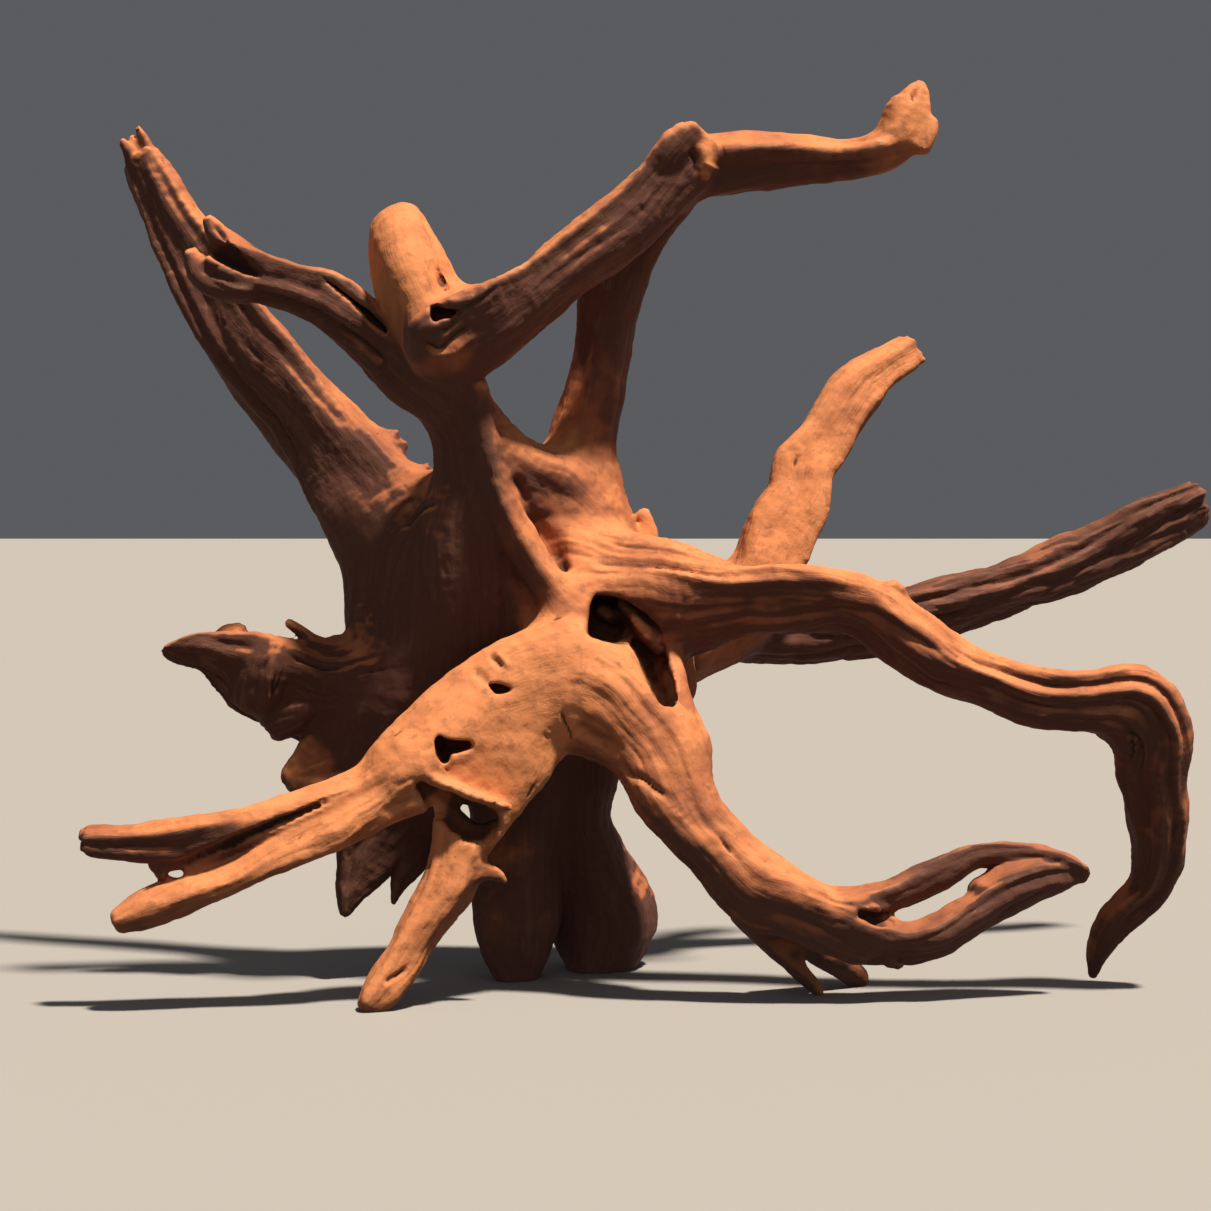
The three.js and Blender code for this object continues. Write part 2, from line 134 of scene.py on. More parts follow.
# Each limb's age is partly weathering and partly painted light and shade: limbs that lie in shade, such
# as the flanges by the crown, the base of the upper left root, the beam, the fingers, the rear foot,
# the spur and the splinters, get high ages and so a darker colour, and lit ones, such as the front
# plate, low ages and so a paler one.
LIMBS = [
    limb("crown", [-134, -8, 283, 28, 28], [-144, 2, 263, 45, 38], [-149, 8, 236, 48, 43],
         [-152, 10, 200, 52, 46], [-158, 10, 167, 56, 44], [-174, 8, 130, 45, 32],
         blend=30, fade=400, groove=0.5, pits=0.2, age_and_shade=(0.8, 0.7)),
    limb("crown_right", [-60, -2, 302, 20, 25], [-64, -4, 272, 28, 36], [-62, -8, 236, 47, 44],
         [-52, -12, 200, 54, 42], [-44, -16, 168, 54, 33],
         blend=16, fade=400, groove=0.6, pits=0.2, age_and_shade=(0.25, 0.25)),
    limb("crown_rear", [-127, 36, 254, 46, 36], [-97, 46, 210, 59, 42], [-47, 52, 198, 46, 37],
         [-5, 62, 200, 25, 28], blend=30, fade=400, groove=0.6),
    limb("crown_right", [-108, -50, 324, 8, 12], [-97, -42, 310, 15, 18], [-76, -24, 295, 21, 22],
         [-56, -14, 269, 21, 22], blend=16, fade=200, groove=0.5),
    limb("front_plate", [-47, -66, 194, 26, 22], [-82, -80, 186, 29, 20], [-111, -88, 172, 26, 18],
         [-139, -94, 153, 22, 18], [-163, -100, 136, 18, 17],
         blend=16, fade=200, groove=0.25, pits=1.5, mass="front", age_and_shade=(-0.25, -0.2)),
    limb("front_plate", [-92, -76, 180, 24, 12], [-104, -88, 149, 30, 16], [-115, -92, 119, 24, 15],
         [-119, -93, 108, 18, 12], blend=12, fade=200, groove=0.25, pits=1.5, mass="front",
         age_and_shade=(-0.25, -0.25)),
    limb("crown_right", [-58, -38, 240, 14, 14], [-67, -54, 219, 20, 15], [-73, -66, 196, 24, 15],
         [-77, -74, 174, 22, 12], blend=16, fade=300, groove=0.4, age_and_shade=(0.1, 0.0),
         mass="rear front"),
    limb("front_plate", [-160, -108, 150, 6, 8], [-151, -112, 139, 5, 8], [-141, -114, 130.5, 3.2, 8],
         [-133, -115, 127.5, 2.4, 7], [-116, -115, 120.5, 2.2, 6.5], [-99, -112, 114.5, 2.6, 6],
         blend=8, fade=200, groove=0.2, pits=0, mass="inside", age_and_shade=(0.0, 0.0)),
    limb("left_post", [-118, -20, 222, 28, 28], [-121, -32, 264, 30, 30], [-119, -40, 308, 25, 25],
         [-128, -48, 343, 19, 20], [-132, -52, 364, 16, 17],
         stem=2, holder="crown", blend=24, fade=60, tip_blend=8, groove=0.8, pits=0.2,
         age_and_shade=(0.5, 0.8)),
    limb("left_post", [-53, -56, 208, 13, 17], [-82, -60, 249, 10, 13], [-98, -64, 276, 8, 11],
         [-109, -68, 306, 6, 9], [-117, -70, 353, 4, 6],
         stem=3, holder="crown_right", blend=9, fade=300, groove=0.3, mass="rear front"),
    limb("crown", [-171, 6, 136, 30, 22], [-201, -2, 131, 26, 18], [-221, -8, 127, 17, 13],
         [-232, -12, 121, 10, 7], blend=16, fade=50, groove=1.2),
    limb("crown", [-160, 18, 278, 20, 20], [-158, 26, 296, 11, 11], [-155, 30, 306, 6, 6],
         [-149, 30, 302, 3, 3], blend=8, fade=20, groove=1.4, age_and_shade=(1.4, 1.5)),
    limb("crown", [-188, 38, 296, 16, 14], [-181, 39, 312, 9, 8], [-177, 39, 325, 4.5, 4],
         [-173, 39, 322, 2.5, 2.5], blend=8, fade=20, groove=1.4, age_and_shade=(1.4, 1.5)),
    limb("crown", [-201, -6, 200, 8, 10], [-212, -9, 202, 5, 7], [-221, -12, 207, 3.6, 4.5],
         [-228, -14, 213, 3.2, 3.6], [-234, -15, 217, 2.6, 3], blend=4, fade=20, groove=0.5,
         age_and_shade=(1.6, 0.0)),
    limb("crown_right", [-20, -4, 257, 9, 7], [-18, -6, 265, 6, 5], [-17, -7, 272, 3.2, 3],
         [-18, -8, 278, 1.8, 1.8], [-20, -8, 283, 1.2, 1.4], blend=4, fade=6, groove=0.2, pits=0,
         age_and_shade=(0.0, -0.2)),
    limb("crown_right", [-12, -48, 205, 9, 10], [-5, -58, 192, 7, 9], [0, -66, 177, 6, 9],
         [3, -73, 159, 6, 9], [7, -78, 146, 7, 9], blend=7, fade=100, groove=0.3, pits=0),
    limb("crown_right", [-45, -44, 224, 4.5, 13], [-40, -46, 220, 3.5, 12], blend=3, fade=20,
         groove=0.2, pits=0, mass="inside", age_and_shade=(0.3, 0.3)),
    limb("crown_right", [-32, -44, 227, 4.5, 12], [-26, -48, 220, 5.5, 12],
         [-20, -51, 212, 5.5, 12], [-13, -50, 203, 4, 9], blend=7, fade=200, groove=0.8, pits=0,
         mass="inside", age_and_shade=(0.4, 0.2)),
    limb("knob", [-136, -76, 380, 25, 24], [-147, -77, 400, 23, 23], [-155, -75, 420, 23, 22],
         [-161.5, -64, 439, 21.5, 20], [-165, -57, 449, 18, 16.5],
         stem=1, holder="left_post", blend=14, fade=30, groove=0.2, pits=0, age_and_shade=(0.1, -0.1),
         marks=((-150, -140, -1.5, 3, 0.4, 0.9),), mass="elbow"),
    limb("beam", [-136, -78, 379, 24, 23], [-116, -80, 391, 23, 20], [-92, -76, 405, 18, 18],
         [-66, -70, 425, 17, 17], [-34, -62, 449, 18, 17], [-9, -54, 475, 16, 17],
         [2, -53, 488, 16.5, 17], [9, -52, 496, 13, 14],
         stem=2, holder="left_post", blend=12, fade=40, groove=0.6, pits=0.3,
         square=3, lean=0.5, marks=((-40, -36, 1.6, 4, 0.2, 1.0), (-70, -62, -1.2, 5, 0.2, 0.9),
                          (-120, -110, 1.0, 7, 0.1, 0.9), (-95, -88, -1.4, 3, 0.3, 0.7)),
         age_and_shade=(0.5, 0.7), mass="elbow"),
    # A small lip at the beam's right end, given a low age so that its rim is painted paler: a painted
    # highlight where light catches it.
    limb("beam", [6, -59, 498, 4, 6], [12, -59, 496, 3.6, 6], [15, -59, 488, 3.2, 6],
         [14, -59, 479, 2.6, 5], blend=5, fade=20, groove=0.3, pits=0, mass="elbow", age_and_shade=(-0.4, -0.4)),
    limb("left_arm", [-137, -62, 352, 18, 18], [-158, -58, 366, 19, 17], [-179, -54, 385, 16, 16],
         [-203, -54, 404, 16, 16], [-221, -58, 412, 14, 14], [-241, -64, 418, 14, 14],
         [-259, -71, 424, 16, 14], [-267, -74, 429, 15, 13],
         stem=1, holder="left_post", blend=14, fade=40, groove=1.0, square=3, lean=-0.4,
         marks=((-48, -40, 2.5, 3, 0.2, 1.0), (-66, -58, -3.0, 2.5, 0.25, 1.0),
                (-85, -75, 2.0, 3, 0.45, 1.0)), age_and_shade=(0.6, 0.85)),
    limb("left_arm", [-257, -73, 431, 10, 11], [-267, -76, 441, 8, 9], [-274, -78, 452, 3.5, 4],
         blend=5, fade=10, groove=1.2, age_and_shade=(0.7, 0.8)),
    limb("left_arm", [-255, -72, 416, 12, 12], [-269, -74, 417.5, 11, 11], [-279, -74, 423, 9, 10],
         [-284, -75, 432, 5, 7], blend=5, fade=10, groove=1.2, age_and_shade=(0.7, 0.8)),
    limb("middle_post", [-62, -6, 254, 33, 33], [-63, -4, 296, 22, 25], [-56, -2, 336, 18, 20],
         [-47, -4, 372, 16, 18], [-41, -10, 408, 17, 18], [-31, -18, 440, 17, 18],
         [-14, -28, 466, 16, 17], [5, -36, 486, 15, 16],
         stem=2, holder="crown_right", blend=24, fade=60, tip_blend=16, groove=0.8, pits=0.3,
         marks=((-100, -70, 1.6, 4, 0.1, 0.6), (-60, -50, -1.8, 4, 0.15, 0.6)),
         mass="rear elbow", age_and_shade=(0.35, 0.65)),
    limb("top_branch", [6, -36, 488, 19, 18], [21, -36, 489, 19, 17], [39, -36, 491, 18, 16],
         [62, -38, 492, 16, 14], [92, -42, 491, 12, 12], [114, -46, 493, 12, 12],
         [126, -47, 499, 13, 12], [133, -47, 512, 14, 11], [136, -46, 522, 11.5, 9.5],
         [139, -45, 530, 7, 7], [141, -45, 534, 4, 4],
         stem=1, holder="beam", blend=4, fade=30, groove=0.6, pits=0.2,
         marks=((-78, -78, 5.0, 5, 0.08, 0.74), (-112, -110, -4.5, 7, 0.1, 0.76),
                (-60, -100, 1.6, 2.5, 0.78, 0.97), (-125, -120, -1.6, 3, 0.78, 0.97)),
         mass="elbow", age_and_shade=(0.7, -0.1)),
    limb("top_branch", [129, -48, 513, 8, 8], [126, -49, 520, 6.5, 7], [127, -49, 525, 4, 5],
         blend=3, fade=30, groove=0.4, pits=0, mass="elbow", age_and_shade=(0.0, -0.1)),
    limb("top_branch", [141, -50, 497, 6, 8], [145, -50, 505, 5, 7], [147, -49, 512, 3.5, 5],
         blend=4, fade=30, groove=0.4, pits=0, mass="elbow", age_and_shade=(0.0, -0.1)),
    limb("upper_left_root", [-157, 16, 242, 33, 35], [-180, 26, 275, 35, 30],
         [-205, 37, 311, 29, 23], [-227, 46, 339, 26, 22], [-249, 54, 366, 25, 21],
         [-274, 61, 396, 23, 20], [-293, 67, 429, 21, 18], [-311, 72, 458, 18, 16],
         [-325, 76, 485, 15, 13], [-333, 78, 501, 12, 10],
         stem=2, holder="crown", blend=18, fade=50, groove=0.4, pits=0.6, broken=True, square=3,
         lean=-0.35,
         marks=((-140, -136, 1.6, 3, 0.15, 1.0), (-122, -118, -1.4, 2.5, 0.3, 0.95),
                (-48, -58, -2.6, 1.8, 0.3, 1.0), (-36, -46, 1.6, 3, 0.2, 1.0),
                (-70, -80, -1.8, 3.5, 0.55, 1.0)),
         age_and_shade=(1.3, 0.6)),
    *(limb("upper_left_root", *tip, blend=3, fade=10, broken=True, age_and_shade=(0.6, 0.5)) for tip in (
        ([-335, 77, 494, 6, 7], [-341, 76, 508, 4, 5], [-346, 75, 515, 2, 3]),
        ([-333, 79, 498, 6, 7], [-338, 80, 512, 4, 5], [-341, 80, 518, 2, 3]),
        ([-325, 78, 496, 6, 7], [-332, 78, 514, 4, 5], [-336, 78, 523, 2, 3]))),
    limb("upper_right_root", [2, 60, 204, 25, 25], [34, 64, 221, 25, 23], [54, 67, 242, 22, 21],
         [65, 74, 272, 21, 18], [75, 80, 291, 18, 17], [80, 86, 310, 18, 17], [92, 92, 325, 17, 16],
         [104, 100, 345, 16, 14], [115, 108, 361, 17, 14], [131, 118, 374, 13, 12],
         [151, 129, 386, 11, 10],
         stem=2, holder="crown_rear", blend=16, fade=40, groove=0.55, pits=0.8, broken=True, square=3,
         marks=((-150, -140, 2.5, 4, 0.3, 1.0), (-165, -160, -2.5, 4, 0.35, 0.9)),
         age_and_shade=(0.0, 0.15)),
    limb("far_right_root", [-29, 54, 204, 22, 25], [25, 82, 206, 20, 20], [73, 104, 206, 18, 18],
         [119, 118, 209, 18, 18], [153, 128, 217, 19, 18], [186, 137, 225, 19, 18],
         [213, 145, 233, 17, 17], [248, 154, 244, 17, 16], [285, 164, 260, 18, 16],
         [310, 171, 273, 19, 17], [342, 181, 288, 16, 15],
         stem=2, holder="crown_rear", blend=14, fade=40, groove=2.0, pits=0.5, twist=4, broken=True,
         lean=0.3,
         marks=((-70, -50, -3.0, 3, 0.4, 1.0), (-110, -95, -3.0, 3, 0.45, 1.0),
                (-90, -72, 1.5, 3, 0.4, 1.0)), age_and_shade=(1.9, 2.0)),
    limb("right_arm", [-53, -22, 229, 42, 38], [-22, -34, 230, 37, 32], [9, -46, 229, 30, 26],
         [35, -52, 231, 22, 22], [64, -58, 233, 20, 20], [89, -62, 232, 19, 20],
         [112, -65, 226, 18, 20], [132, -68, 210, 18, 19], [155, -69, 194, 18, 18],
         [180, -70, 184, 16, 16], [208, -70, 174, 17, 17], [236, -69, 172, 18, 18],
         [263, -66, 171, 23, 21], [277, -63, 153, 22, 21], [278, -58, 129, 20, 19],
         [281, -53, 107, 18, 17], [283, -46, 81, 15, 15], [278, -38, 60, 12, 12],
         [262, -28, 42, 10, 10], [252, -20, 23, 7, 7], [249, -13, 5, 3, 3.5],
         stem=2, holder="crown_right", blend=15, fade=50, groove=1.1, pits=0.3, twist=1, lean=0.3,
         marks=((-55, -60, 2.0, 4, 0.12, 0.3), (-118, -75, -4.0, 4, 0.26, 0.42),
                (-58, -48, -2.5, 2.5, 0.42, 0.72), (-78, -70, 2.0, 3, 0.42, 0.7),
                (-100, -95, -3.0, 3, 0.45, 0.75), (-85, -60, -4.0, 3.5, 0.6, 0.9),
                (-125, -120, -2.5, 3, 0.55, 0.9)), age_and_shade=(0.35, 0.45)),
    limb("right_arm", [110, -68, 226, 9, 13], [118, -68, 236, 7, 12], [125.5, -68, 238, 5.5, 10],
         [131, -67, 229, 3.5, 7], blend=3, fade=40, groove=0.4, pits=0, age_and_shade=(0.2, 0.2)),
    limb("right_leg", [-66, -66, 184, 25, 19], [-42, -74, 174, 33, 24], [-17, -83, 150, 31, 23],
         [-6, -89, 120, 24, 22], [7, -92, 102, 19, 21], [24, -94, 86, 19, 20],
         [43, -95, 69, 20, 21], [67, -95, 57, 19, 20], [86, -93, 48, 19, 20],
         [104, -91, 42, 19, 19],
         stem=2, holder="front_plate", blend=22, fade=50, groove=0.8, pits=0.8, mass="front",
         marks=((150, 155, -3.0, 4, 0.25, 0.7), (-150, -150, -2.0, 3, 0.35, 0.8),
                (-168, -160, 2.0, 3, 0.3, 0.8)), age_and_shade=(0.1, 0.5)),
    limb("upper_finger", [97, -90, 53, 13, 14], [122, -84, 61, 10, 11], [138, -80, 67, 11, 10],
         [155, -77, 74, 10, 9], [171, -75, 82, 8, 8], [188, -74, 84, 7, 8], [209, -74, 83, 6, 7],
         [224, -76, 77, 8, 8], [234, -77, 73, 6.5, 7],
         stem=1, holder="right_leg", blend=10, fade=30, tip_blend=6, groove=1.3, lean=0.5,
         mass="front", age_and_shade=(1.5, 1.6)),
    limb("lower_finger", [104, -90, 39, 16, 17], [128, -88, 34, 12, 13], [148, -86, 37, 13, 14],
         [167, -83, 47, 13, 14], [186, -80, 58, 13, 14], [205, -78, 66, 12, 12],
         [223, -77, 70, 8, 8], [233, -77, 71, 4, 4.5],
         stem=1, holder="right_leg", blend=10, fade=30, groove=1.3, lean=0.5,
         marks=((-60, -55, -2.2, 2.2, 0.45, 1.0), (-100, -90, 1.4, 3, 0.3, 0.9)),
         mass="front", age_and_shade=(1.5, 1.6)),
    limb("lower_finger", [117, -90, 31, 7, 9], [121, -92, 24, 4.5, 7], [126, -92, 21.5, 2.5, 4],
         blend=4, fade=20, groove=1.3, mass="front", age_and_shade=(1.5, 1.5)),
    limb("lower_finger", [174, -82, 63, 8, 10], [190, -79, 71, 8.5, 9], [207, -78, 75, 7.5, 8],
         [223, -77, 75, 6, 7], blend=5, fade=20, groove=1.3, mass="front", age_and_shade=(1.5, 1.6)),
    limb("front_toe", [38, -90, 51, 10, 13], [51, -82, 34, 7.5, 10], [64, -74, 20, 5.5, 8],
         [74, -68, 10, 4.4, 6], [81, -64, 2, 3.2, 5],
         stem=1, holder="right_leg", blend=8, fade=20, groove=0.6, mass="front", age_and_shade=(0.4, 0.3)),
    limb("rear_toe", [63, -72, 40, 12, 14], [83, -50, 25, 9, 10], [98, -34, 13, 8, 9],
         [107, -24, 5, 7, 8], stem=1, holder="right_leg", blend=8, fade=20, groove=0.5,
         mass="front", age_and_shade=(0.4, 0.3)),
    limb("left_leg", [-130, -93, 156, 17, 13], [-151, -98, 138, 21, 19], [-170, -103, 125, 18, 18],
         [-196, -109, 109, 17, 18], [-218, -115, 95, 14, 16], [-239, -120, 84, 11, 14],
         [-256, -123, 76, 10, 12], [-271, -126, 71, 10, 12], [-289, -129, 64, 11, 12],
         [-304, -132, 59, 11, 10], [-318, -134, 53, 7, 8],
         stem=2, holder="front_plate", blend=18, fade=50, lean=0.25, mass="front",
         age_and_shade=(-0.1, 0.1)),
    limb("left_leg", [-226, -114, 112, 8, 7], [-240, -116, 105, 8, 6], [-256, -119, 96, 9, 5],
         [-270, -122, 88, 8, 5], [-282, -125, 82, 7, 5], [-294, -127, 81, 6, 6], [-299, -128, 84, 4, 5],
         blend=5, fade=100, mass="front", age_and_shade=(0.5, 0.6)),
    limb("left_leg_prong", [-173, -104, 128, 13, 14], [-193, -109, 122, 11, 12],
         [-210, -113, 116, 11, 12], [-245, -119, 105, 12, 12], [-278, -124, 98, 13, 13],
         [-302, -126, 96, 11, 12], [-320, -127, 96, 9.5, 10], [-337, -128, 97, 8, 9],
         stem=3, holder="left_leg", blend=4, fade=20, groove=1.3, broken=True, mass="front",
         marks=((-80, -84, -1.4, 2.2, 0.6, 1.0), (-120, -110, 1.4, 2.5, 0.5, 1.0)),
         age_and_shade=(0.2, 0.7)),
    limb("front_leg", [-118, -92, 116, 15, 10], [-124, -96, 98, 17, 16], [-129, -100, 83, 15, 16],
         [-135, -104, 68, 15, 16], [-147, -110, 50, 13, 14], [-159, -117, 29, 12, 12],
         [-170, -122, 13, 11, 12], [-178, -125, 3, 8, 11],
         stem=2, holder="front_plate", blend=14, fade=40, mass="front", age_and_shade=(-0.1, 0.1)),
    limb("front_leg", [-124, -102, 77, 9, 11], [-113, -103, 77, 5.5, 7], [-104, -104, 74, 3, 4],
         [-101, -104, 71, 1.5, 2], blend=6, fade=20, groove=0.4, mass="front", age_and_shade=(0.2, 0.3)),
    limb("rear_foot", [-96, 20, 144, 30, 30], [-98, 10, 96, 26, 29], [-99, 8, 54, 26, 31],
         [-99, 9, 34, 26, 32], [-99, 11, 18, 22, 31], [-98, 12, 6, 16, 28],
         stem=1, holder="crown", blend=14, fade=60, groove=0.4, pits=0, age_and_shade=(0.7, 0.5)),
    limb("rear_foot", [-66, 28, 144, 31, 30], [-65, 36, 94, 25, 29], [-55, 46, 56, 30, 32],
         [-46, 53, 32, 35, 36], [-47, 56, 16, 30, 36], [-50, 58, 5, 21, 33],
         stem=1, holder="crown", blend=14, fade=60, groove=0.4, pits=0, age_and_shade=(1.0, 1.0)),
    limb("left_spur", [-171, 2, 170, 39, 30], [-207, -4, 171, 28, 21], [-232, -8, 179, 29, 16],
         [-250, -12, 185, 24, 13], [-265, -16, 193, 20, 10], [-282, -20, 199, 13, 8],
         [-298, -24, 200, 8, 4.5], [-307, -26, 200, 3.5, 2.5],
         stem=1, holder="crown", blend=18, fade=40, groove=2.0, pits=1.5, broken=True,
         lean=-0.3, marks=((-60, -70, -2.5, 3, 0.35, 1.0), (-110, -100, 2.0, 3, 0.3, 0.9)),
         age_and_shade=(1.3, 1.4)),
    limb("left_spur", [-279, -10, 197, 9.5, 10], [-270, -14, 206, 9.5, 10], [-263, -16, 210, 7, 10],
         blend=4, fade=20, groove=1.6, age_and_shade=(1.0, 0.9)),
    limb("left_spur", [-252, -16, 172, 12, 13], [-247, -20, 186, 13, 15], [-243, -20, 198, 11, 14],
         blend=14, fade=200, groove=1.4, age_and_shade=(0.75, 0.75)),
    limb("crown", [-240, -6, 158, 12, 14], [-227, -14, 163, 9.5, 12], [-220, -18, 167, 5, 8],
         blend=5, fade=20, groove=1.6, age_and_shade=(0.9, 0.9)),
    limb("long_splinter", [-173, 4, 121, 27, 16], [-179, 2, 97, 27, 13], [-188, -2, 76, 20, 10],
         [-197, -6, 57, 11, 6], [-201, -8, 41, 3, 2.5],
         stem=1, holder="crown", blend=8, fade=20, groove=1.6, age_and_shade=(1.7, 1.8)),
    limb("short_splinter", [-154, 6, 109, 17, 14], [-159, 4, 88, 14, 11], [-164, 1, 70, 10, 8],
         [-169, -1, 58, 5, 4.5], [-172, -2, 47, 2, 2],
         stem=1, holder="crown", blend=8, fade=20, groove=1.6, age_and_shade=(1.7, 1.8)),
]

# Hollows are cut from the wood with plain limbs of the same kind.
HOLLOWS = [
    limb("hollow", [-46, -72, 221, 11, 34], [-39, -72, 220.5, 13, 35], [-31, -66, 219, 12, 24],
         [-23, -62, 216, 9, 13], [-16, -62, 211, 6, 7], square=3, blend=3),
    limb("hollow", [-22, -66, 206, 8, 22], [-18, -66, 201, 9, 26], [-15, -68, 191.5, 8, 30],
         [-11.5, -72, 183, 7, 32], [-9, -76, 174.5, 6, 32], [-6.5, -80, 167.5, 4, 30],
         square=4, blend=1.5),
    limb("hollow", [-139, -116, 153, 2.5, 18], [-137, -114, 147, 4, 24], [-136, -114, 142, 2.5, 16],
         blend=2),
    limb("hollow", [-136, -114, 150, 3.5, 18], [-130, -112, 149, 3.5, 18], [-122, -110, 150, 2, 12],
         blend=2),
    limb("hollow", [-110, -104, 183, 1.5, 10], [-106, -103, 182, 3.8, 14], [-99, -102, 181.5, 1.5, 9],
         blend=1.5),
    limb("hollow", [-126, -96, 112, 3, 40], [-118, -96, 109, 6, 40], [-108, -96, 108, 3, 40],
         blend=3),
    limb("hollow", [102, -108, 53, 2, 6], [108, -108, 51, 3.5, 11], [115, -106, 49.5, 4.5, 14],
         [122, -104, 50, 4.5, 16], blend=3),
    limb("hollow", [98, 62, 356, 2.5, 6], [103, 66, 352, 3.5, 9], [109, 70, 349, 2, 6], blend=3),
    limb("hollow", [-94, -62, 300, 2, 5], [-91, -62, 292, 3, 6], [-86.5, -60, 284, 5, 8],
         [-80.5, -59, 279.5, 3.2, 6], blend=4),
    limb("hollow", [-85, -52, 276, 2.5, 5], [-77, -53, 262, 5, 6], [-70, -57, 250, 3, 4], blend=9),
    limb("hollow", [-148, -118, 128, 5, 18], [-139, -118, 118.5, 9, 26], [-129, -118, 111.5, 11, 28],
         [-119, -118, 106.5, 11, 28], [-110, -116, 104, 9.5, 26], [-104, -114, 105.5, 5, 20],
         square=3, blend=2),
    limb("hollow", [-187, -132, 126.5, 0.6, 3], [-204, -129, 118.5, 1.5, 6],
         [-218, -128, 112, 2.2, 7.5], [-234, -129, 105.5, 2.8, 8], [-251, -131, 98, 3.2, 8],
         [-268, -133, 90, 2.8, 8], [-280, -134, 84, 2.4, 8], blend=3),
    limb("hollow", [-292, -126, 78.5, 1.5, 30], [-288, -126, 78, 2.4, 30], [-284, -126, 79, 1.5, 30],
         blend=1.5),
    limb("hollow", [-139.5, -96, 420.5, 1.8, 7], [-138.5, -96, 416, 3, 8.5], [-136.5, -96, 411, 2.2, 7],
         blend=2),
    limb("hollow", [-206, -66, 417.5, 1.4, 8], [-197, -68, 411, 2, 10], [-187, -68, 403, 2.4, 10],
         [-178, -68, 394.5, 2, 10], [-171, -70, 388, 1.4, 8], blend=2),
    limb("hollow", [-140, -102, 396.5, 5, 9], [-136, -102, 396.5, 3.6, 8], [-129, -101, 397.5, 1.5, 6],
         square=3, blend=1.5),
    limb("hollow", [135.5, -57, 523, 1.4, 7], [137, -57, 527.5, 2.2, 8], [138.5, -56, 532, 1.2, 6],
         blend=1.5),
    limb("hollow", [-281, -88, 445, 3, 10], [-273, -90, 436, 5, 13], [-262, -90, 430, 6, 13],
         [-252, -86, 424, 4.5, 10], [-244, -82, 420, 2, 6], blend=2),
]

# Fine folds, drawn as seen from the front: height (down where negative), half width, points [x, z].
# Each follows the front of the pieces that it names.
CREASES = [
    ("front_leg", -2.2, 1.7, [-169, 16.5], [-162.4, 20.3], [-155, 25]),
    ("front_leg", -1.7, 1.5, [-154.5, 5], [-146.5, 20], [-135, 40], [-125, 55]),
    ("beam top_branch", 1.4, 1.3, [13, 487], [20, 484], [29, 485]),
    ("beam", -1.8, 1.6, [4, 494], [8, 488], [8, 478]),
    ("left_post knob beam", -2.4, 1.6, [-149, 383], [-145, 379], [-138.6, 376.5], [-133, 381],
     [-126, 387], [-121, 392]),
    ("left_post knob beam", 1.5, 2.2, [-151, 379], [-142, 373.5], [-131, 374.5], [-123, 382],
     [-119, 388]),
    ("left_post knob beam", -1.5, 1.3, [-140, 387], [-135, 387], [-131, 390.5], [-128, 395]),
    ("left_post knob beam", -1.8, 1.5, [-131, 397], [-122, 401], [-114, 405], [-104, 414]),
    ("left_post knob beam", 1.2, 1.8, [-138, 403.5], [-127, 403.5], [-116, 407], [-103, 417]),
    ("knob left_post", -1.6, 1.5, [-140, 425], [-138, 419], [-136, 412]),
    ("knob left_post", 0.8, 1.4, [-143, 421], [-141, 414], [-137, 409], [-133, 411], [-133, 418]),
    ("crown crown_right left_post", -2.2, 1.4, [-140, 289], [-151, 285.5], [-158, 279], [-166, 271]),
    ("crown crown_right left_post", 1.4, 2.0, [-141, 285], [-150, 281.5], [-157, 275], [-163, 268]),
    ("crown_right", -1.8, 3.0, [-97, 306], [-94, 297], [-89, 287]),
    ("front_plate", -1.8, 1.1, [-68.5, 170], [-68, 164], [-64.5, 156], [-63.5, 150]),
    ("front_plate", -1.0, 1.0, [-139, 141], [-136, 138], [-132, 134]),
    ("front_plate", -0.7, 1.1, [-79, 158], [-76, 158.5], [-74, 156], [-76, 154], [-79, 155],
     [-79, 158]),
    ("front_plate", -2.0, 2.2, [-112, 202], [-107, 198], [-102.5, 193]),
    ("front_plate", 1.4, 2.0, [-108, 203], [-103, 198.5], [-99, 193.5]),
    ("front_plate", -1.6, 2.8, [-121, 193], [-115, 188.5], [-111, 183]),
    ("front_plate right_leg", -1.8, 3.6, [-61, 163], [-53, 157], [-41.5, 146]),
    ("front_plate right_leg", -2.2, 2.4, [-42, 140], [-34.6, 137], [-30, 132.5], [-22, 130],
     [-15, 124.5], [-8, 121], [-2.6, 113], [9.4, 101]),
    ("left_arm", 1.6, 1.2, [-274, 419], [-266, 416], [-258, 412.5], [-247, 411]),
    ("left_arm", -2.0, 1.3, [-270, 450], [-263, 440], [-254, 430]),
    ("upper_finger lower_finger", -1.8, 1.6, [217, 67.6], [197, 57.2], [179, 47]),
]

# The pieces and the finish of each. Those named for the crown stand for its one solid together.
PIECES = {
    "crown": "smooth_wood", "crown_low": "smooth_wood", "crown_right": "smooth_wood",
    "crown_rear": "smooth_wood", "front_plate": "smooth_wood", "left_post": "smooth_wood",
    "knob": "smooth_wood", "beam": "grooved_wood", "left_arm": "grooved_wood",
    "middle_post": "smooth_wood", "top_branch": "smooth_wood", "upper_left_root": "grooved_wood",
    "upper_right_root": "grooved_wood", "far_right_root": "grooved_wood",
    "right_arm": "grooved_wood", "right_leg": "smooth_wood", "upper_finger": "smooth_wood",
    "lower_finger": "smooth_wood", "front_toe": "smooth_wood", "rear_toe": "smooth_wood",
    "left_leg": "smooth_wood", "left_leg_prong": "torn_wood", "front_leg": "smooth_wood",
    "rear_foot": "smooth_wood", "left_spur": "torn_wood", "long_splinter": "torn_wood",
    "short_splinter": "torn_wood",
}

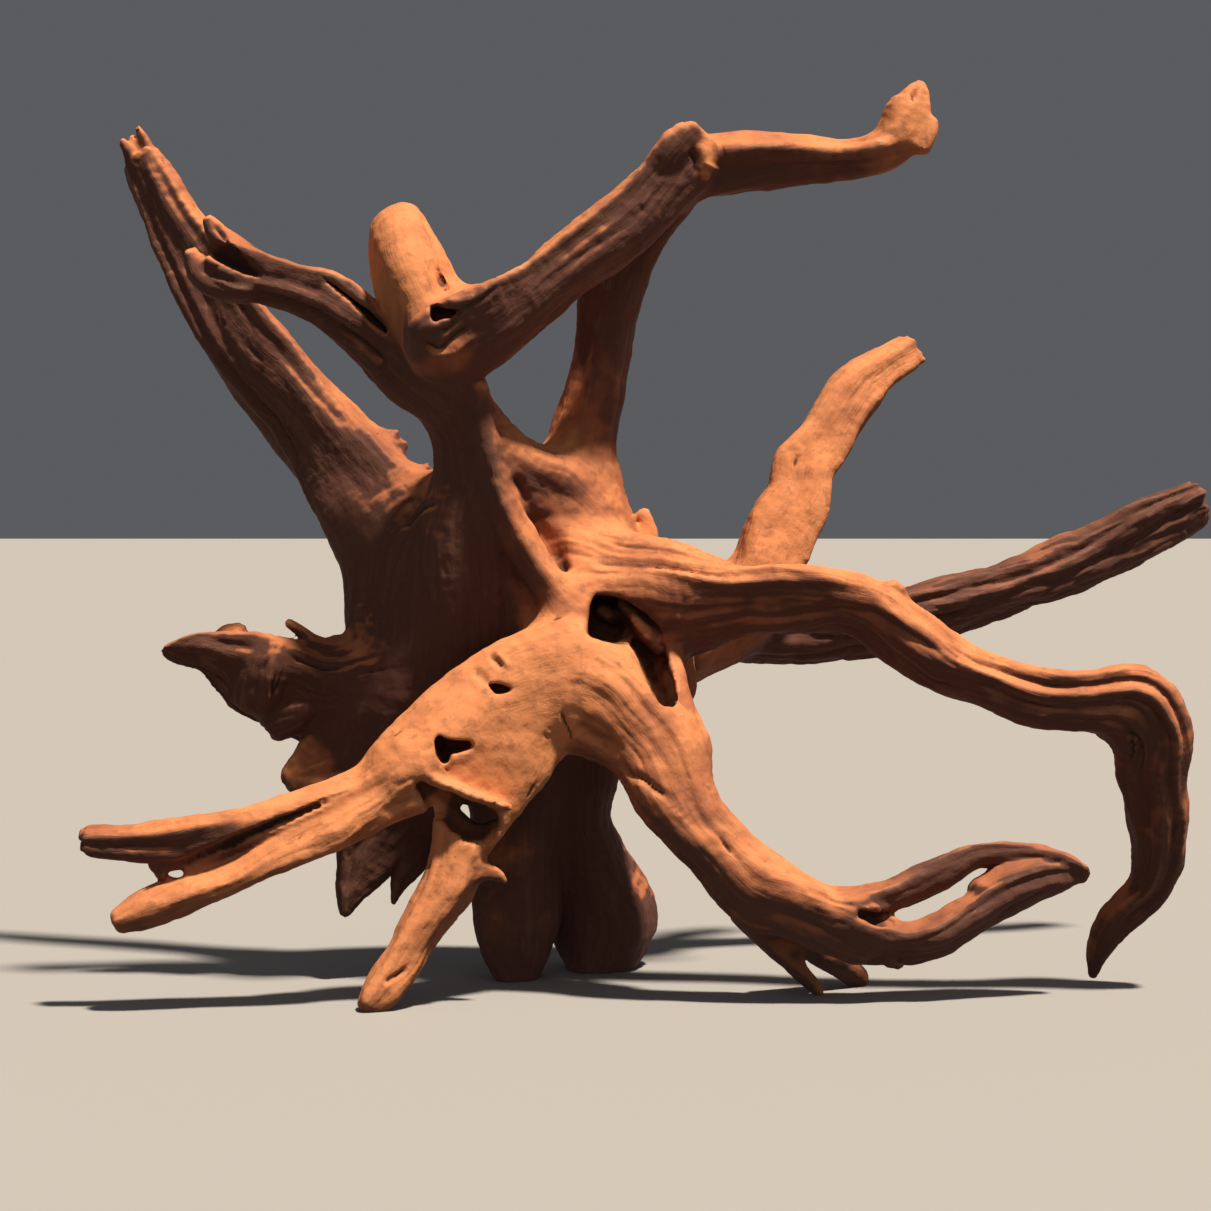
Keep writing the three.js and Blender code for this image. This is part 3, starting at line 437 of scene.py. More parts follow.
rng = np.random.default_rng(SEED)
ORDER = rng.permutation(256)
CORNER_WAYS = rng.normal(size=(256, 3))
CORNER_WAYS = (CORNER_WAYS / np.linalg.norm(CORNER_WAYS, axis=1)[:, None]).astype(np.float32)


def noise(x, y, z):
    """Smooth noise between about -1 and 1 that changes over a length of about 1.

    Every corner of a lattice of unit cubes has a random direction. Each of the eight corners round a
    point gives its direction times the offset from the corner, weighted along each axis by
    6t^5 - 15t^4 + 10t^3 of the way across the cube.
    """
    x, y, z = (np.asarray(v, np.float32).ravel() for v in (x, y, z))
    total = np.zeros(len(x), np.float32)
    for first in range(0, len(x), 60000):
        part = slice(first, first + 60000)
        place = [v[part] for v in (x, y, z)]
        corner = [np.floor(v).astype(np.int32) for v in place]
        offset = [v - c for v, c in zip(place, corner)]
        weight = [t * t * t * (t * (t * 6 - 15) + 10) for t in offset]
        value = 0
        for i in (0, 1):
            row = ORDER[(corner[0] + i) & 255]
            for j in (0, 1):
                column = ORDER[(row + corner[1] + j) & 255]
                for k in (0, 1):
                    way = CORNER_WAYS[ORDER[(column + corner[2] + k) & 255]]
                    share = ((weight[0] if i else 1 - weight[0]) * (weight[1] if j else 1 - weight[1])
                             * (weight[2] if k else 1 - weight[2]))
                    value = value + share * (way[:, 0] * (offset[0] - i)
                                             + way[:, 1] * (offset[1] - j)
                                             + way[:, 2] * (offset[2] - k))
        total[part] = value * 1.6
    return total


def rise(value, low, high):
    """0 below low, 1 above high and 3t^2 - 2t^3 between them."""
    t = np.clip((value - low) / (high - low), 0, 1)
    return t * t * (3 - 2 * t)


def smooth_curve(rows, places):
    """Rows on the smooth curve through the given rows, at places counted in rows.

    Between rows b and c, with a before and d after, at the share t of the way, it is half of
    2b + (c - a)t + (2a - 5b + 4c - d)t^2 + (3b - a - 3c + d)t^3. The ends are reflected.
    """
    rows = np.vstack([2 * rows[0] - rows[1], rows, 2 * rows[-1] - rows[-2]])
    low = np.clip(np.floor(places).astype(int), 0, len(rows) - 4)
    t = (places - low)[:, None]
    a, b, c, d = (rows[low + i] for i in range(4))
    return (2 * b + (c - a) * t + (2 * a - 5 * b + 4 * c - d) * t ** 2
            + (3 * b - a - 3 * c + d) * t ** 3) / 2


def lay_line(limb):
    """Lay the limb's line in steps, with its sections' centres, directions, half sizes and places."""
    stations = limb["stations"].copy()
    stations[:, :3] += TO_ORIGIN
    spans = np.linalg.norm(np.diff(stations[:, :3], axis=0), axis=1)
    places = np.concatenate([i + np.arange(math.ceil(span / STEP)) / math.ceil(span / STEP)
                             for i, span in enumerate(spans)] + [[len(spans)]])
    rows = smooth_curve(stations, places)
    centre = rows[:, :3]
    tangent = np.gradient(centre, axis=0)
    tangent /= np.linalg.norm(tangent, axis=1)[:, None]
    deep = np.array([0, 1.0, 0]) - tangent[:, 1:2] * tangent
    deep /= np.linalg.norm(deep, axis=1)[:, None]
    along = np.concatenate([[0], np.cumsum(np.linalg.norm(np.diff(centre, axis=0), axis=1))])
    line = {"centre": centre, "tangent": tangent, "deep": deep, "across": np.cross(tangent, deep),
            "width": np.maximum(rows[:, 3], 1), "depth": np.maximum(rows[:, 4], 1), "along": along}
    line = {name: value.astype(np.float32) for name, value in line.items()}
    line["phase"] = float(limb["stations"][0, 0] + limb["stations"][0, 2])
    line["square"], line["lean"] = limb["square"], limb["lean"]
    line["stem"] = float(along[np.argmin(np.abs(places - limb["stem"]))]) if limb["stem"] else -1.0
    return line


def measure(line, k, x, y, z):
    """How points lie to the steps k of a line: distance, place along, angle, share out, half sizes.

    The point's nearest place on the step gives a section with the half sizes w and d, both times the
    swell, 1 + 0.075 sin(3 angle + s/34 + phase) + 0.05 sin(4 angle - s/26 + 2.3 phase)
    + 0.02 sin(s/12 + 1.7 phase). With a and b across and deep, where b has the lean times a added,
    l past the limb's end over its reach, and n the limb's squareness, g is the n-th root of
    |a/w|^n + |b/d|^n + l^n. The distance is about g(g - 1) over the length of g's own slope.
    """
    start, step = line["centre"][k], line["centre"][k + 1] - line["centre"][k]
    length = line["along"][k + 1] - line["along"][k]
    x, y, z = x - start[..., 0], y - start[..., 1], z - start[..., 2]
    way = (x * step[..., 0] + y * step[..., 1] + z * step[..., 2]) / length ** 2
    t = np.clip(way, 0, 1)
    past = (way - t) * length
    x, y, z = x - t * step[..., 0], y - t * step[..., 1], z - t * step[..., 2]
    width, depth = (line[name][k] + t * (line[name][k + 1] - line[name][k])
                    for name in ("width", "depth"))
    a, b = (x * (low[..., 0] + t * turn[..., 0]) + y * (low[..., 1] + t * turn[..., 1])
            + z * (low[..., 2] + t * turn[..., 2])
            for low, turn in ((line[name][k], line[name][k + 1] - line[name][k])
                              for name in ("across", "deep")))
    b = b + line["lean"] * a
    angle = np.arctan2(b / depth, a / width)
    s, phase = line["along"][k] + t * length, line["phase"]
    swell = (1 + RIDGE_HEIGHT * np.sin(RIDGES * angle + s / RIDGE_TWIST + phase)
             + FLUTE_HEIGHT * np.sin(FLUTES * angle - s / FLUTE_TWIST + FLUTE_SHIFT * phase)
             + SWELLING_HEIGHT * np.sin(s / SWELLING_LENGTH + SWELLING_SHIFT * phase))
    w, d, end = width * swell, depth * swell, WORN_END * np.minimum(width, depth)
    a, b, past, n = np.abs(a / w), np.abs(b / d), np.abs(past / end), line["square"]
    if n == 2:
        g = np.sqrt(a * a + b * b + past * past)
        slope = np.sqrt((a / w) ** 2 + (b / d) ** 2 + (past / end) ** 2) + 1e-5
        return g * (g - 1) / slope, s, angle, np.sqrt(a * a + b * b), width, depth
    g = (a ** n + b ** n + past ** n) ** (1 / n) + 1e-6
    slope = g ** (1 - n) * np.sqrt((a ** (n - 1) / w) ** 2 + (b ** (n - 1) / d) ** 2
                                   + (past ** (n - 1) / end) ** 2) + 1e-5
    return (g - 1) / slope, s, angle, (a ** n + b ** n) ** (1 / n), width, depth


def blend_width(limb, line, s):
    """How wide the limb is blended into the rest at s: full up to its stem, then fading out."""
    near = max(line["stem"], 0.35 * line["along"][-1] if not limb["stem"] else 0)
    width = 1.5 + (limb["blend"] - 1.5) * (1 - rise(s, near, near + limb["fade"]))
    if limb["tip_blend"]:
        end = line["along"][-1]
        width = np.maximum(width, limb["tip_blend"] * rise(s, end - 50, end - 15))
    return width


def smooth_min(a, b, width):
    """The lower of two distances, with the corner where they meet filled over a width."""
    h = np.clip(0.5 + 0.5 * (a - b) / width, 0, 1)
    return a + (b - a) * h - width * h * (1 - h)


class Grid:
    """The field's cells: corners on a lattice that reaches a little past the solids' box."""

    def __init__(self, box):
        """Lay the lattice round a box in metres, from a little below the floor."""
        low, high = np.array(box[0]) / MM - 16, np.array(box[1]) / MM + 16
        low[2] = -3.5 * CELL
        self.low = low
        self.count = np.ceil((high - low) / CELL).astype(int) + 1
        self.axes = [np.float32(low[i] + CELL * np.arange(self.count[i])) for i in range(3)]

    def span(self, low, high, block=None):
        """The slices of cells between two points, and their coordinates ready to combine.

        With a block the slices keep inside it, and the slices within the block come third.
        """
        first = np.clip(np.floor((low - self.low) / CELL).astype(int), 0, self.count)
        last = np.clip(np.ceil((high - self.low) / CELL).astype(int) + 1, 0, self.count)
        if block:
            first = np.maximum(first, [b.start for b in block])
            last = np.minimum(last, [b.stop for b in block])
        where = tuple(slice(a, b) for a, b in zip(first, last))
        x, y, z = (self.axes[i][where[i]] for i in range(3))
        inner = tuple(slice(w.start - b.start, w.stop - b.start) for w, b in zip(where, block or where))
        return where, (x[:, None, None], y[None, :, None], z[None, None, :]), inner


def break_end(grid, line, block, distance):
    """Cut a limb off near its last station with a plane roughened by noise, as a torn end is."""
    last = line["centre"][-1]
    size = float(max(line["width"][-1], line["depth"][-1]))
    _, (x, y, z), inner = grid.span(last - size - 16, last + size + 16, block)
    x, y, z = x - last[0], y - last[1], z - last[2]
    way, a, b = (x * v[0] + y * v[1] + z * v[2]
                 for v in (line["tangent"][-1], line["across"][-1], line["deep"][-1]))
    jag = JAG * noise(a / JAG, b / JAG, way / 30 + line["phase"]).reshape(way.shape)
    cut = way - BROKEN_END * float(min(line["width"][-1], line["depth"][-1])) - jag
    distance[inner] = np.where(way > -BITE, np.maximum(distance[inner], cut), distance[inner])


def limb_block(grid, limb):
    """The limb's distances, nearest steps and places along it, in the block of cells round it."""
    line = limb["line"]
    along = line["along"]
    size = np.maximum(line["width"], line["depth"])
    reach = 1.16 * size + np.maximum(blend_width(limb, line, along), 8) + 4
    low = (line["centre"] - reach[:, None]).min(axis=0)
    high = (line["centre"] + reach[:, None]).max(axis=0)
    block = grid.span(low, high)[0]
    shape = tuple(s.stop - s.start for s in block)
    distance = np.full(shape, REACH, np.float32)
    nearest = np.zeros(shape, np.int16)
    place = np.zeros(shape, np.float32)
    for k in range(len(along) - 1):
        extent = max(reach[k], reach[k + 1])
        ends = line["centre"][k:k + 2]
        _, (x, y, z), inner = grid.span(ends.min(axis=0) - extent, ends.max(axis=0) + extent, block)
        found, s = measure(line, k, x, y, z)[:2]
        closer = found < distance[inner]
        distance[inner] = np.where(closer, found, distance[inner])
        nearest[inner] = np.where(closer, k, nearest[inner])
        place[inner] = np.where(closer, s, place[inner])
    if limb["broken"]:
        break_end(grid, line, block, distance)
    return block, distance, nearest, place


def grow_field(grid):
    """Join all limbs into one field of distances, and say which piece each cell belongs to.

    Each limb is blended into the ones before it in its masses, and then the masses are joined,
    with the hollows cut before the last of them. The field before that cut comes third.
    A cell belongs to the piece of the limb whose own distance is the least, or to that limb's
    holder where the cell lies before its stem. The crown's lobe is parted once more, level.
    """
    names = list(PIECES)
    masses = {mass: np.full(grid.count, REACH, np.float32) for mass in MASS_BLEND}
    least = np.full(grid.count, REACH, np.float32)
    label = np.zeros(grid.count, np.uint8)
    for limb in LIMBS:
        limb["line"] = line = lay_line(limb)
        block, distance, limb["nearest"], place = limb_block(grid, limb)
        limb["block"], limb["distance"] = block, distance
        for mass in limb["mass"]:
            masses[mass][block] = smooth_min(masses[mass][block], distance,
                                             blend_width(limb, line, place))
        own = names.index(limb["piece"]) + 1
        holder = names.index(limb["holder"]) + 1 if limb["holder"] else own
        closer = distance < least[block]
        label[block] = np.where(closer, np.where(place >= line["stem"], own, holder), label[block])
        least[block] = np.where(closer, distance, least[block])
    field = np.full(grid.count, REACH, np.float32)
    for mass, width in MASS_BLEND.items():
        if mass == "inside":
            uncut = field.copy()
            for limb in HOLLOWS:
                limb["line"] = lay_line(limb)
                block, distance, _, _ = limb_block(grid, limb)
                field[block] = -smooth_min(-field[block], distance, limb["blend"])
        field = smooth_min(field, masses[mass], width)
    field = np.maximum(field, -grid.axes[2][None, None, :])
    lower = (label == names.index("crown") + 1) & (grid.axes[2] < CROWN_PARTED)
    label[lower] = names.index("crown_low") + 1
    label[field >= 0] = 0
    return field, label, uncut


def surface_net(field, label, grid):
    """Quads between cells of different pieces, and between the wood and the air.

    Every lattice edge whose two ends have different labels is crossed by one quad. Its corners lie
    in the four cubes round the edge, each at the mean of the points where the cube's own edges are
    crossed, found from the field by proportion. Crossings inside the wood hardly count where
    there are others. Returns points, quads, the labels at the low and high end, and whether each
    point lies on the outer surface.
    """
    count = np.array(field.shape)
    stride = np.array([count[1] * count[2], count[2], 1])
    flat_field, flat_label = field.ravel(), label.ravel()
    quads, lows, highs, crossings = [], [], [], []
    for axis in range(3):
        low = [slice(None)] * 3
        high = [slice(None)] * 3
        low[axis], high[axis] = slice(None, -1), slice(1, None)
        place = np.stack(np.nonzero(label[tuple(low)] != label[tuple(high)]), axis=1)
        start = place @ stride
        a, b = flat_label[start], flat_label[start + stride[axis]]
        outer = (a == 0) | (b == 0)
        f, g = flat_field[start], flat_field[start + stride[axis]]
        t = np.where(outer, f / np.where(f == g, 1, f - g), 0.5)
        crossing = place.astype(np.float64)
        crossing[:, axis] += np.clip(t, 0.02, 0.98)
        u, v = stride[(axis + 1) % 3], stride[(axis + 2) % 3]
        quads.append(np.stack([start - u - v, start - v, start, start - u], axis=1))
        lows.append(a)
        highs.append(b)
        crossings.append(np.column_stack([crossing, np.where(outer, 1.0, 0.01), outer]))
    quads, low, high = np.concatenate(quads), np.concatenate(lows), np.concatenate(highs)
    crossings = np.concatenate(crossings)
    cubes, corner = np.unique(quads, return_inverse=True)
    quads = corner.reshape(quads.shape)
    weight = np.bincount(quads.ravel(), np.repeat(crossings[:, 3], 4), len(cubes))
    points = np.stack([np.bincount(quads.ravel(), np.repeat(crossings[:, i] * crossings[:, 3], 4),
                                   len(cubes)) / weight for i in range(3)], axis=1)
    outer = np.bincount(quads.ravel(), np.repeat(crossings[:, 4], 4), len(cubes)) > 0
    return grid.low + CELL * points, quads, low, high, outer


def quad_edges(quads, count):
    """The quads' edges, each once, and the number of each quad's four edges."""
    ends = np.stack([quads, np.roll(quads, -1, axis=1)], axis=2).reshape(-1, 2)
    key = ends.min(axis=1).astype(np.int64) * count + ends.max(axis=1)
    key, number = np.unique(key, return_inverse=True)
    return np.stack([key // count, key % count], axis=1), number.reshape(-1, 4)


def split_quads(points, quads, outer_quad, outer):
    """Split every quad into four, with new points in the middle of its edges and of itself."""
    edges, number = quad_edges(quads, len(points))
    middle = points[edges].mean(axis=1)
    outer_edge = np.bincount(number[outer_quad].ravel(), minlength=len(edges)) > 0
    first, centre = len(points), len(points) + len(edges)
    points = np.concatenate([points, middle, points[quads].mean(axis=1)])
    outer = np.concatenate([outer, outer_edge, outer_quad])
    centre = centre + np.arange(len(quads))
    number = number + first
    small = [np.stack([quads[:, i], number[:, i], centre, number[:, i - 1]], axis=1)
             for i in range(4)]
    return points, np.stack(small, axis=1).reshape(-1, 4), outer


class Neighbours:
    """The neighbours of every point along the mesh's edges, for taking means."""

    def __init__(self, edges, count):
        """List each point's neighbours in a row, with one entry more after the last point's."""
        ends = np.concatenate([edges, edges[:, ::-1]])
        order = np.argsort(ends[:, 0], kind="stable")
        self.other = np.append(ends[order, 1], 0)
        self.number = np.bincount(ends[:, 0], minlength=count)
        self.first = np.concatenate([[0], np.cumsum(self.number)])
        self.none = self.number == 0

    def mean(self, values):
        """The mean over each point's neighbours. A point that has none keeps its value."""
        total = np.add.reduceat(values[self.other], self.first, axis=0)[:-1]
        number = np.maximum(self.number, 1)
        mean = total / (number if values.ndim == 1 else number[:, None])
        return np.where(self.none if values.ndim == 1 else self.none[:, None], values, mean)


def field_at(field, grid, points):
    """The field and its slope at points, found by proportion in the cube that each lies in."""
    place = (points - grid.low) / CELL
    low = np.clip(np.floor(place).astype(int), 0, grid.count - 2)
    u, v, w = (place - low).T
    stride = np.array([grid.count[1] * grid.count[2], grid.count[2], 1])
    start, flat = low @ stride, field.ravel()
    c = {(i, j, k): flat[start + i * stride[0] + j * stride[1] + k]
         for i in (0, 1) for j in (0, 1) for k in (0, 1)}
    x = {(j, k): c[0, j, k] + u * (c[1, j, k] - c[0, j, k]) for j in (0, 1) for k in (0, 1)}
    y = {k: x[0, k] + v * (x[1, k] - x[0, k]) for k in (0, 1)}
    slope_x = sum((c[1, j, k] - c[0, j, k]) * (v if j else 1 - v) * (w if k else 1 - w)
                  for j in (0, 1) for k in (0, 1))
    slope_y = sum((x[1, k] - x[0, k]) * (w if k else 1 - w) for k in (0, 1))
    slope = np.stack([slope_x, slope_y, y[1] - y[0]], axis=1) / CELL
    return y[0] + w * (y[1] - y[0]), slope


def settle(points, field, grid, part):
    """Move the chosen points onto the field's surface, along its slope times value over slope^2."""
    chosen = points[part]
    for _ in range(2):
        value, slope = field_at(field, grid, chosen)
        steep = np.maximum((slope ** 2).sum(axis=1), LEAST_SLOPE)
        chosen = chosen - slope * np.clip(value / steep, -LONGEST_STEP, LONGEST_STEP)[:, None]
    points[part] = chosen
    return points


def point_normals(points, quads):
    """Each point's outward direction: the sum of its quads' own, each half its diagonals' product."""
    face = np.cross(points[quads[:, 2]] - points[quads[:, 0]],
                    points[quads[:, 3]] - points[quads[:, 1]])
    normal = np.stack([np.bincount(quads.ravel(), np.repeat(face[:, i], 4), len(points))
                       for i in range(3)], axis=1)
    return normal / np.maximum(np.linalg.norm(normal, axis=1), 1e-9)[:, None]


def near_points(grid, limb, points):
    """The points near a limb, and how they lie to the nearest of its steps."""
    cell = np.rint((points - grid.low) / CELL).astype(int)
    low = np.array([b.start for b in limb["block"]])
    local = cell - low
    index = np.flatnonzero(((local >= 0) & (local < limb["distance"].shape)).all(axis=1))
    local = tuple(local[index].T)
    close = limb["distance"][local] < RELIEF_REACH
    index, k = index[close], limb["nearest"][local][close].astype(int)
    x, y, z = (points[index, i].astype(np.float32) for i in range(3))
    last, best = len(limb["line"]["along"]) - 2, None
    for shift in (0, -1, 1):
        found = measure(limb["line"], np.clip(k + shift, 0, last), x, y, z)
        if best is None:
            best = list(found)
        else:
            closer = found[0] < best[0]
            best = [np.where(closer, new, old) for new, old in zip(found, best)]
    return index, best


def fibres(limb, s, u, v, size):
    """Height of the furrows that run along a limb, and how deep each point lies in a crack.

    Noise that is stretched along the limb and folded at zero gives rounded crests with sharp
    furrows between them. Three sizes of it are added. The narrowest folds of the widest noise
    open into cracks where a slow noise allows.
    """
    groove = limb["groove"] * np.clip(size / 15, 0.35, 1.15)
    wide = noise(s / WIDE[0], u / WIDE[1], v / WIDE[1] + limb["line"]["phase"])
    middle = noise(s / MIDDLE[0], u / MIDDLE[1] + 9, v / MIDDLE[1])
    narrow = noise(s / NARROW[0], u / NARROW[1], v / NARROW[1] + 31)
    open_here = rise(noise(s / 60, u / 25 + 50, v / 25), 0.3, 0.7) * rise(limb["groove"], 0.6, 1.2)
    crack = np.exp(-(wide / 0.07) ** 2) * open_here
    height = groove * (WIDE[2] * np.minimum(np.abs(wide), 0.5)
                       + MIDDLE[2] * np.minimum(np.abs(middle), 0.5)
                       + NARROW[2] * narrow - 1.3 * crack - 0.85)
    return height, crack


def marks_height(limb, s, angle, size):
    """Height of the limb's own marks: a bell curve across each, faded towards its two ends."""
    height = np.zeros_like(s)
    share = s / limb["line"]["along"][-1]
    for start, end, rise_by, half, first, last in limb["marks"]:
        way = np.clip((share - first) / (last - first), 0, 1)
        off = np.degrees(angle) - (start + (end - start) * way)
        across = np.radians((off + 180) % 360 - 180) * size
        fade = rise(share, first - 0.04, first + 0.04) * (1 - rise(share, last - 0.04, last + 0.04))
        height += rise_by * fade * np.exp(-(across / half) ** 2)
    return height


def crease(points, normal, own):
    """Height of the fine folds at the points: a bell curve of the distance from each fold's line.

    The distance is measured in x and z. A fold shows only on the front of its own pieces, and
    fades towards its two ends.
    """
    height = np.zeros(len(points))
    names = list(PIECES)
    for pieces, rise_by, half, *line in CREASES:
        line = smooth_curve(np.array(line) + TO_ORIGIN[[0, 2]], np.linspace(0, len(line) - 1, 24))
        mine = np.isin(own, [names.index(piece) + 1 for piece in pieces.split()])
        index = np.flatnonzero(mine & (normal[:, 1] < 0)
                               & (points[:, [0, 2]] > line.min(axis=0) - 3 * half).all(axis=1)
                               & (points[:, [0, 2]] < line.max(axis=0) + 3 * half).all(axis=1))
        off = np.linalg.norm(points[index][:, None, [0, 2]] - line, axis=2)
        share = off.argmin(axis=1) / 23
        fade = rise(share, -0.02, 0.25) * (1 - rise(share, 0.75, 1.02))
        height[index] += rise_by * fade * np.exp(-(off.min(axis=1) / half) ** 2)
    return height


def carve(grid, points):
    """Relief of every outer point, and what its colour follows.

    Each is the mean of that of the limbs near it, weighted by e to the power of minus the distance
    over RELIEF_FADE. The fibres sway by a slow noise, and lumps of four sizes are added. The grain
    is the place along and across the nearest limb in millimetres, and calm says how far that limb
    alone decides.
    """
    total = np.full(len(points), 1e-6)
    height, crack, pit, age_and_shade = (np.zeros(len(points)) for _ in range(4))
    best = np.zeros(len(points))
    grain = np.zeros((len(points), 3))
    x, y, z = points.T
    sway = np.stack([5 * noise(x / 70 + shift, y / 70, z / 70)
                     + 1.4 * noise(x / 17, y / 17 + shift, z / 17)
                     for shift in (0, 40, 80)], axis=1)
    for number, limb in enumerate(LIMBS):
        index, (distance, s, angle, out, width, depth) = near_points(grid, limb, points)
        if not len(index):
            continue
        size = np.sqrt(width * depth)
        mean = math.sqrt(float((limb["line"]["width"] * limb["line"]["depth"]).mean()) ** 0.5)
        radius = mean * np.sqrt(size) * np.minimum(out, 1)
        turn = angle + limb["twist"] * s * MM
        u = radius * np.cos(turn) + sway[index, 0]
        v = radius * np.sin(turn) + sway[index, 1]
        furrow, split = fibres(limb, s + sway[index, 2], u, v, size)
        spots = noise(s / 15, u / 5.5 + 70, v / 5.5)
        holes = limb["pits"] * rise(spots, 0.6, 0.85)
        weight = np.exp(-np.clip(distance, 0, 40) / RELIEF_FADE)
        total[index] += weight
        height[index] += weight * (furrow + marks_height(limb, s, angle, size)
                                   - 1.5 * holes * np.clip(size / 14, 0.3, 1))
        crack[index] += weight * split
        pit[index] += weight * holes
        first, last = limb["age_and_shade"]
        age_and_shade[index] += weight * (first + (last - first) * s / limb["line"]["along"][-1])
        wins = weight > best[index]
        best[index] = np.where(wins, weight, best[index])
        mine = np.stack([s + 400 * number, u, v], axis=1)
        grain[index] = np.where(wins[:, None], mine, grain[index])
    lumps = sum(rise_by * noise(x / size, y / size + back, z / size + up)
                for size, rise_by, back, up in LUMPS)
    return {"height": height / total + lumps, "crack": crack / total, "pit": pit / total,
            "age_and_shade": age_and_shade / total, "grain": grain, "calm": rise(best / total, 0.55, 0.9)}


def grow_surface(grid):
    """The whole wood's surface with its relief: points, quads, pieces, normals and colour values.

    The net is split, then pulled to its neighbours' means and back onto the field in turn. Every
    point moves along its normal by its relief, and the caps inside the wood are drawn smooth.
    """
    field, label, uncut = grow_field(grid)
    points, quads, near, far, outer = surface_net(field, label, grid)
    outer_quad = (near == 0) | (far == 0)
    points, quads, outer = split_quads(points, quads, outer_quad, outer)
    near, far, outer_quad = (np.repeat(v, 4) for v in (near, far, outer_quad))
    towards = np.where((near > 0)[:, None], quads, quads[:, ::-1])
    skin_edges, _ = quad_edges(quads[outer_quad], len(points))
    skin = Neighbours(skin_edges, len(points))
    points = settle(points, field, grid, outer)
    for _ in range(SKIN_ROUNDS):
        points[outer] += SMOOTHING * (skin.mean(points) - points)[outer]
        points = settle(points, field, grid, outer)
    normal = point_normals(points, towards[outer_quad])
    where = np.flatnonzero(outer)
    carved = carve(grid, points[where])
    own = np.zeros(len(points), np.uint8)
    own[quads[outer_quad]] = np.maximum(near, far)[outer_quad][:, None]
    folds = crease(points[where], normal[where], own[where])
    # Painted shade: the fine folds that dip are added to the cracks, and the insides of the cut hollows
    # to the pits, so both are darkened.
    carved["crack"] += np.maximum(-folds / 3.5, 0)
    carved["pit"] += 1.1 * rise(-field_at(uncut, grid, points[where])[0], 1.2, 7)
    height = (carved["height"] + folds) * rise(points[where, 2], 0.5, 9)
    points[where] += height[:, None] * normal[where]
    points[:, 2] = np.maximum(points[:, 2], 0)
    inner = Neighbours(quad_edges(quads[~outer_quad], len(points))[0], len(points))
    for _ in range(CAP_ROUNDS):
        points[~outer] = inner.mean(points)[~outer]
    normal = point_normals(points, towards[outer_quad])
    values = {name: np.zeros((len(points), 3) if name == "grain" else len(points))
              for name in carved}
    for name, value in carved.items():
        values[name][where] = value
    # Painted light and shade: the sides that face up get as little as half their age, so they are
    # painted paler as if lit from above, and the sides and undersides get up to twice it and more, so
    # they are painted darker as if in shade.
    up = skin.mean(normal[:, 2])
    values["age_and_shade"] *= 2 - 1.5 * rise(up, -0.05, 0.65)
    values["age_and_shade"] += 0.5 * rise(-up, 0, 0.6)
    mean, proud = points.copy(), {}
    for step in range(1, FAR_ROUND + 1):
        mean = skin.mean(mean)
        if step in (NEAR_ROUND, FAR_ROUND):
            proud[step] = ((points - mean) * normal).sum(axis=1)
    near_by, far_by = proud[NEAR_ROUND], proud[FAR_ROUND]
    # Painted shade: points in cracks, pits and cut hollows, and points lower than their neighbours, are
    # darkened towards the near-black of the hollows. Points that stand proud are worn paler.
    deep = (0.8 * values["crack"] + 0.8 * values["pit"] + rise(-near_by, 0.25, 1.0)
            + rise(-far_by, 1.5, 6))
    high = 0.6 * rise(near_by, 0.1, 0.7) + rise(far_by, 1.5, 6)
    return points, quads, near, far, normal, {
        "hollow_shade": np.clip(deep, 0, 1), "wear": np.clip(high, 0, 1), "age_and_shade": values["age_and_shade"],
        "calm": values["calm"], "grain": values["grain"]}


def build_piece(name, number, surface, material):
    """One closed piece: the quads with it on their near side, and those on their far side turned."""
    points, quads, near, far, normal, values = surface
    faces = np.concatenate([quads[near == number], quads[far == number][:, ::-1]])
    used, corner = np.unique(faces, return_inverse=True)
    corner = corner.reshape(-1, 4).astype(np.int32)
    mesh = bpy.data.meshes.new(name)
    mesh.vertices.add(len(used))
    mesh.vertices.foreach_set("co", (points[used] * MM).astype(np.float32).ravel())
    mesh.loops.add(corner.size)
    mesh.loops.foreach_set("vertex_index", corner.ravel())
    mesh.polygons.add(len(corner))
    mesh.polygons.foreach_set("loop_start", 4 * np.arange(len(corner), dtype=np.int32))
    mesh.polygons.foreach_set("use_smooth", np.ones(len(corner), bool))
    for key, value in values.items():
        if value.ndim == 1:
            layer = mesh.attributes.new(key, "FLOAT", "POINT")
            layer.data.foreach_set("value", value[used].astype(np.float32))
        else:
            layer = mesh.attributes.new(key, "FLOAT_VECTOR", "POINT")
            layer.data.foreach_set("vector", value[used].astype(np.float32).ravel())
    mesh.update()
    mesh.validate()
    mesh.normals_split_custom_set_from_vertices(normal[used].astype(np.float32))
    mesh.materials.append(material)
    piece = bpy.data.objects.new(name, mesh)
    bpy.context.scene.collection.objects.link(piece)
    return piece


def linear(code):
    """An sRGB hex colour as linear red, green and blue with an alpha of one."""
    parts = [int(code[i:i + 2], 16) / 255 for i in (1, 3, 5)]
    return tuple(p / 12.92 if p <= 0.04045 else ((p + 0.055) / 1.055) ** 2.4 for p in parts) + (1,)


def add(tree, kind, inputs=(), **settings):
    """Add a shader node with its settings. Inputs are values or other nodes' outputs to link."""
    node = tree.nodes.new("ShaderNode" + kind)
    for name, value in settings.items():
        setattr(node, name, value)
    for key, value in dict(inputs).items():
        if isinstance(value, bpy.types.NodeSocket):
            tree.links.new(value, node.inputs[key])
        else:
            node.inputs[key].default_value = value
    return node


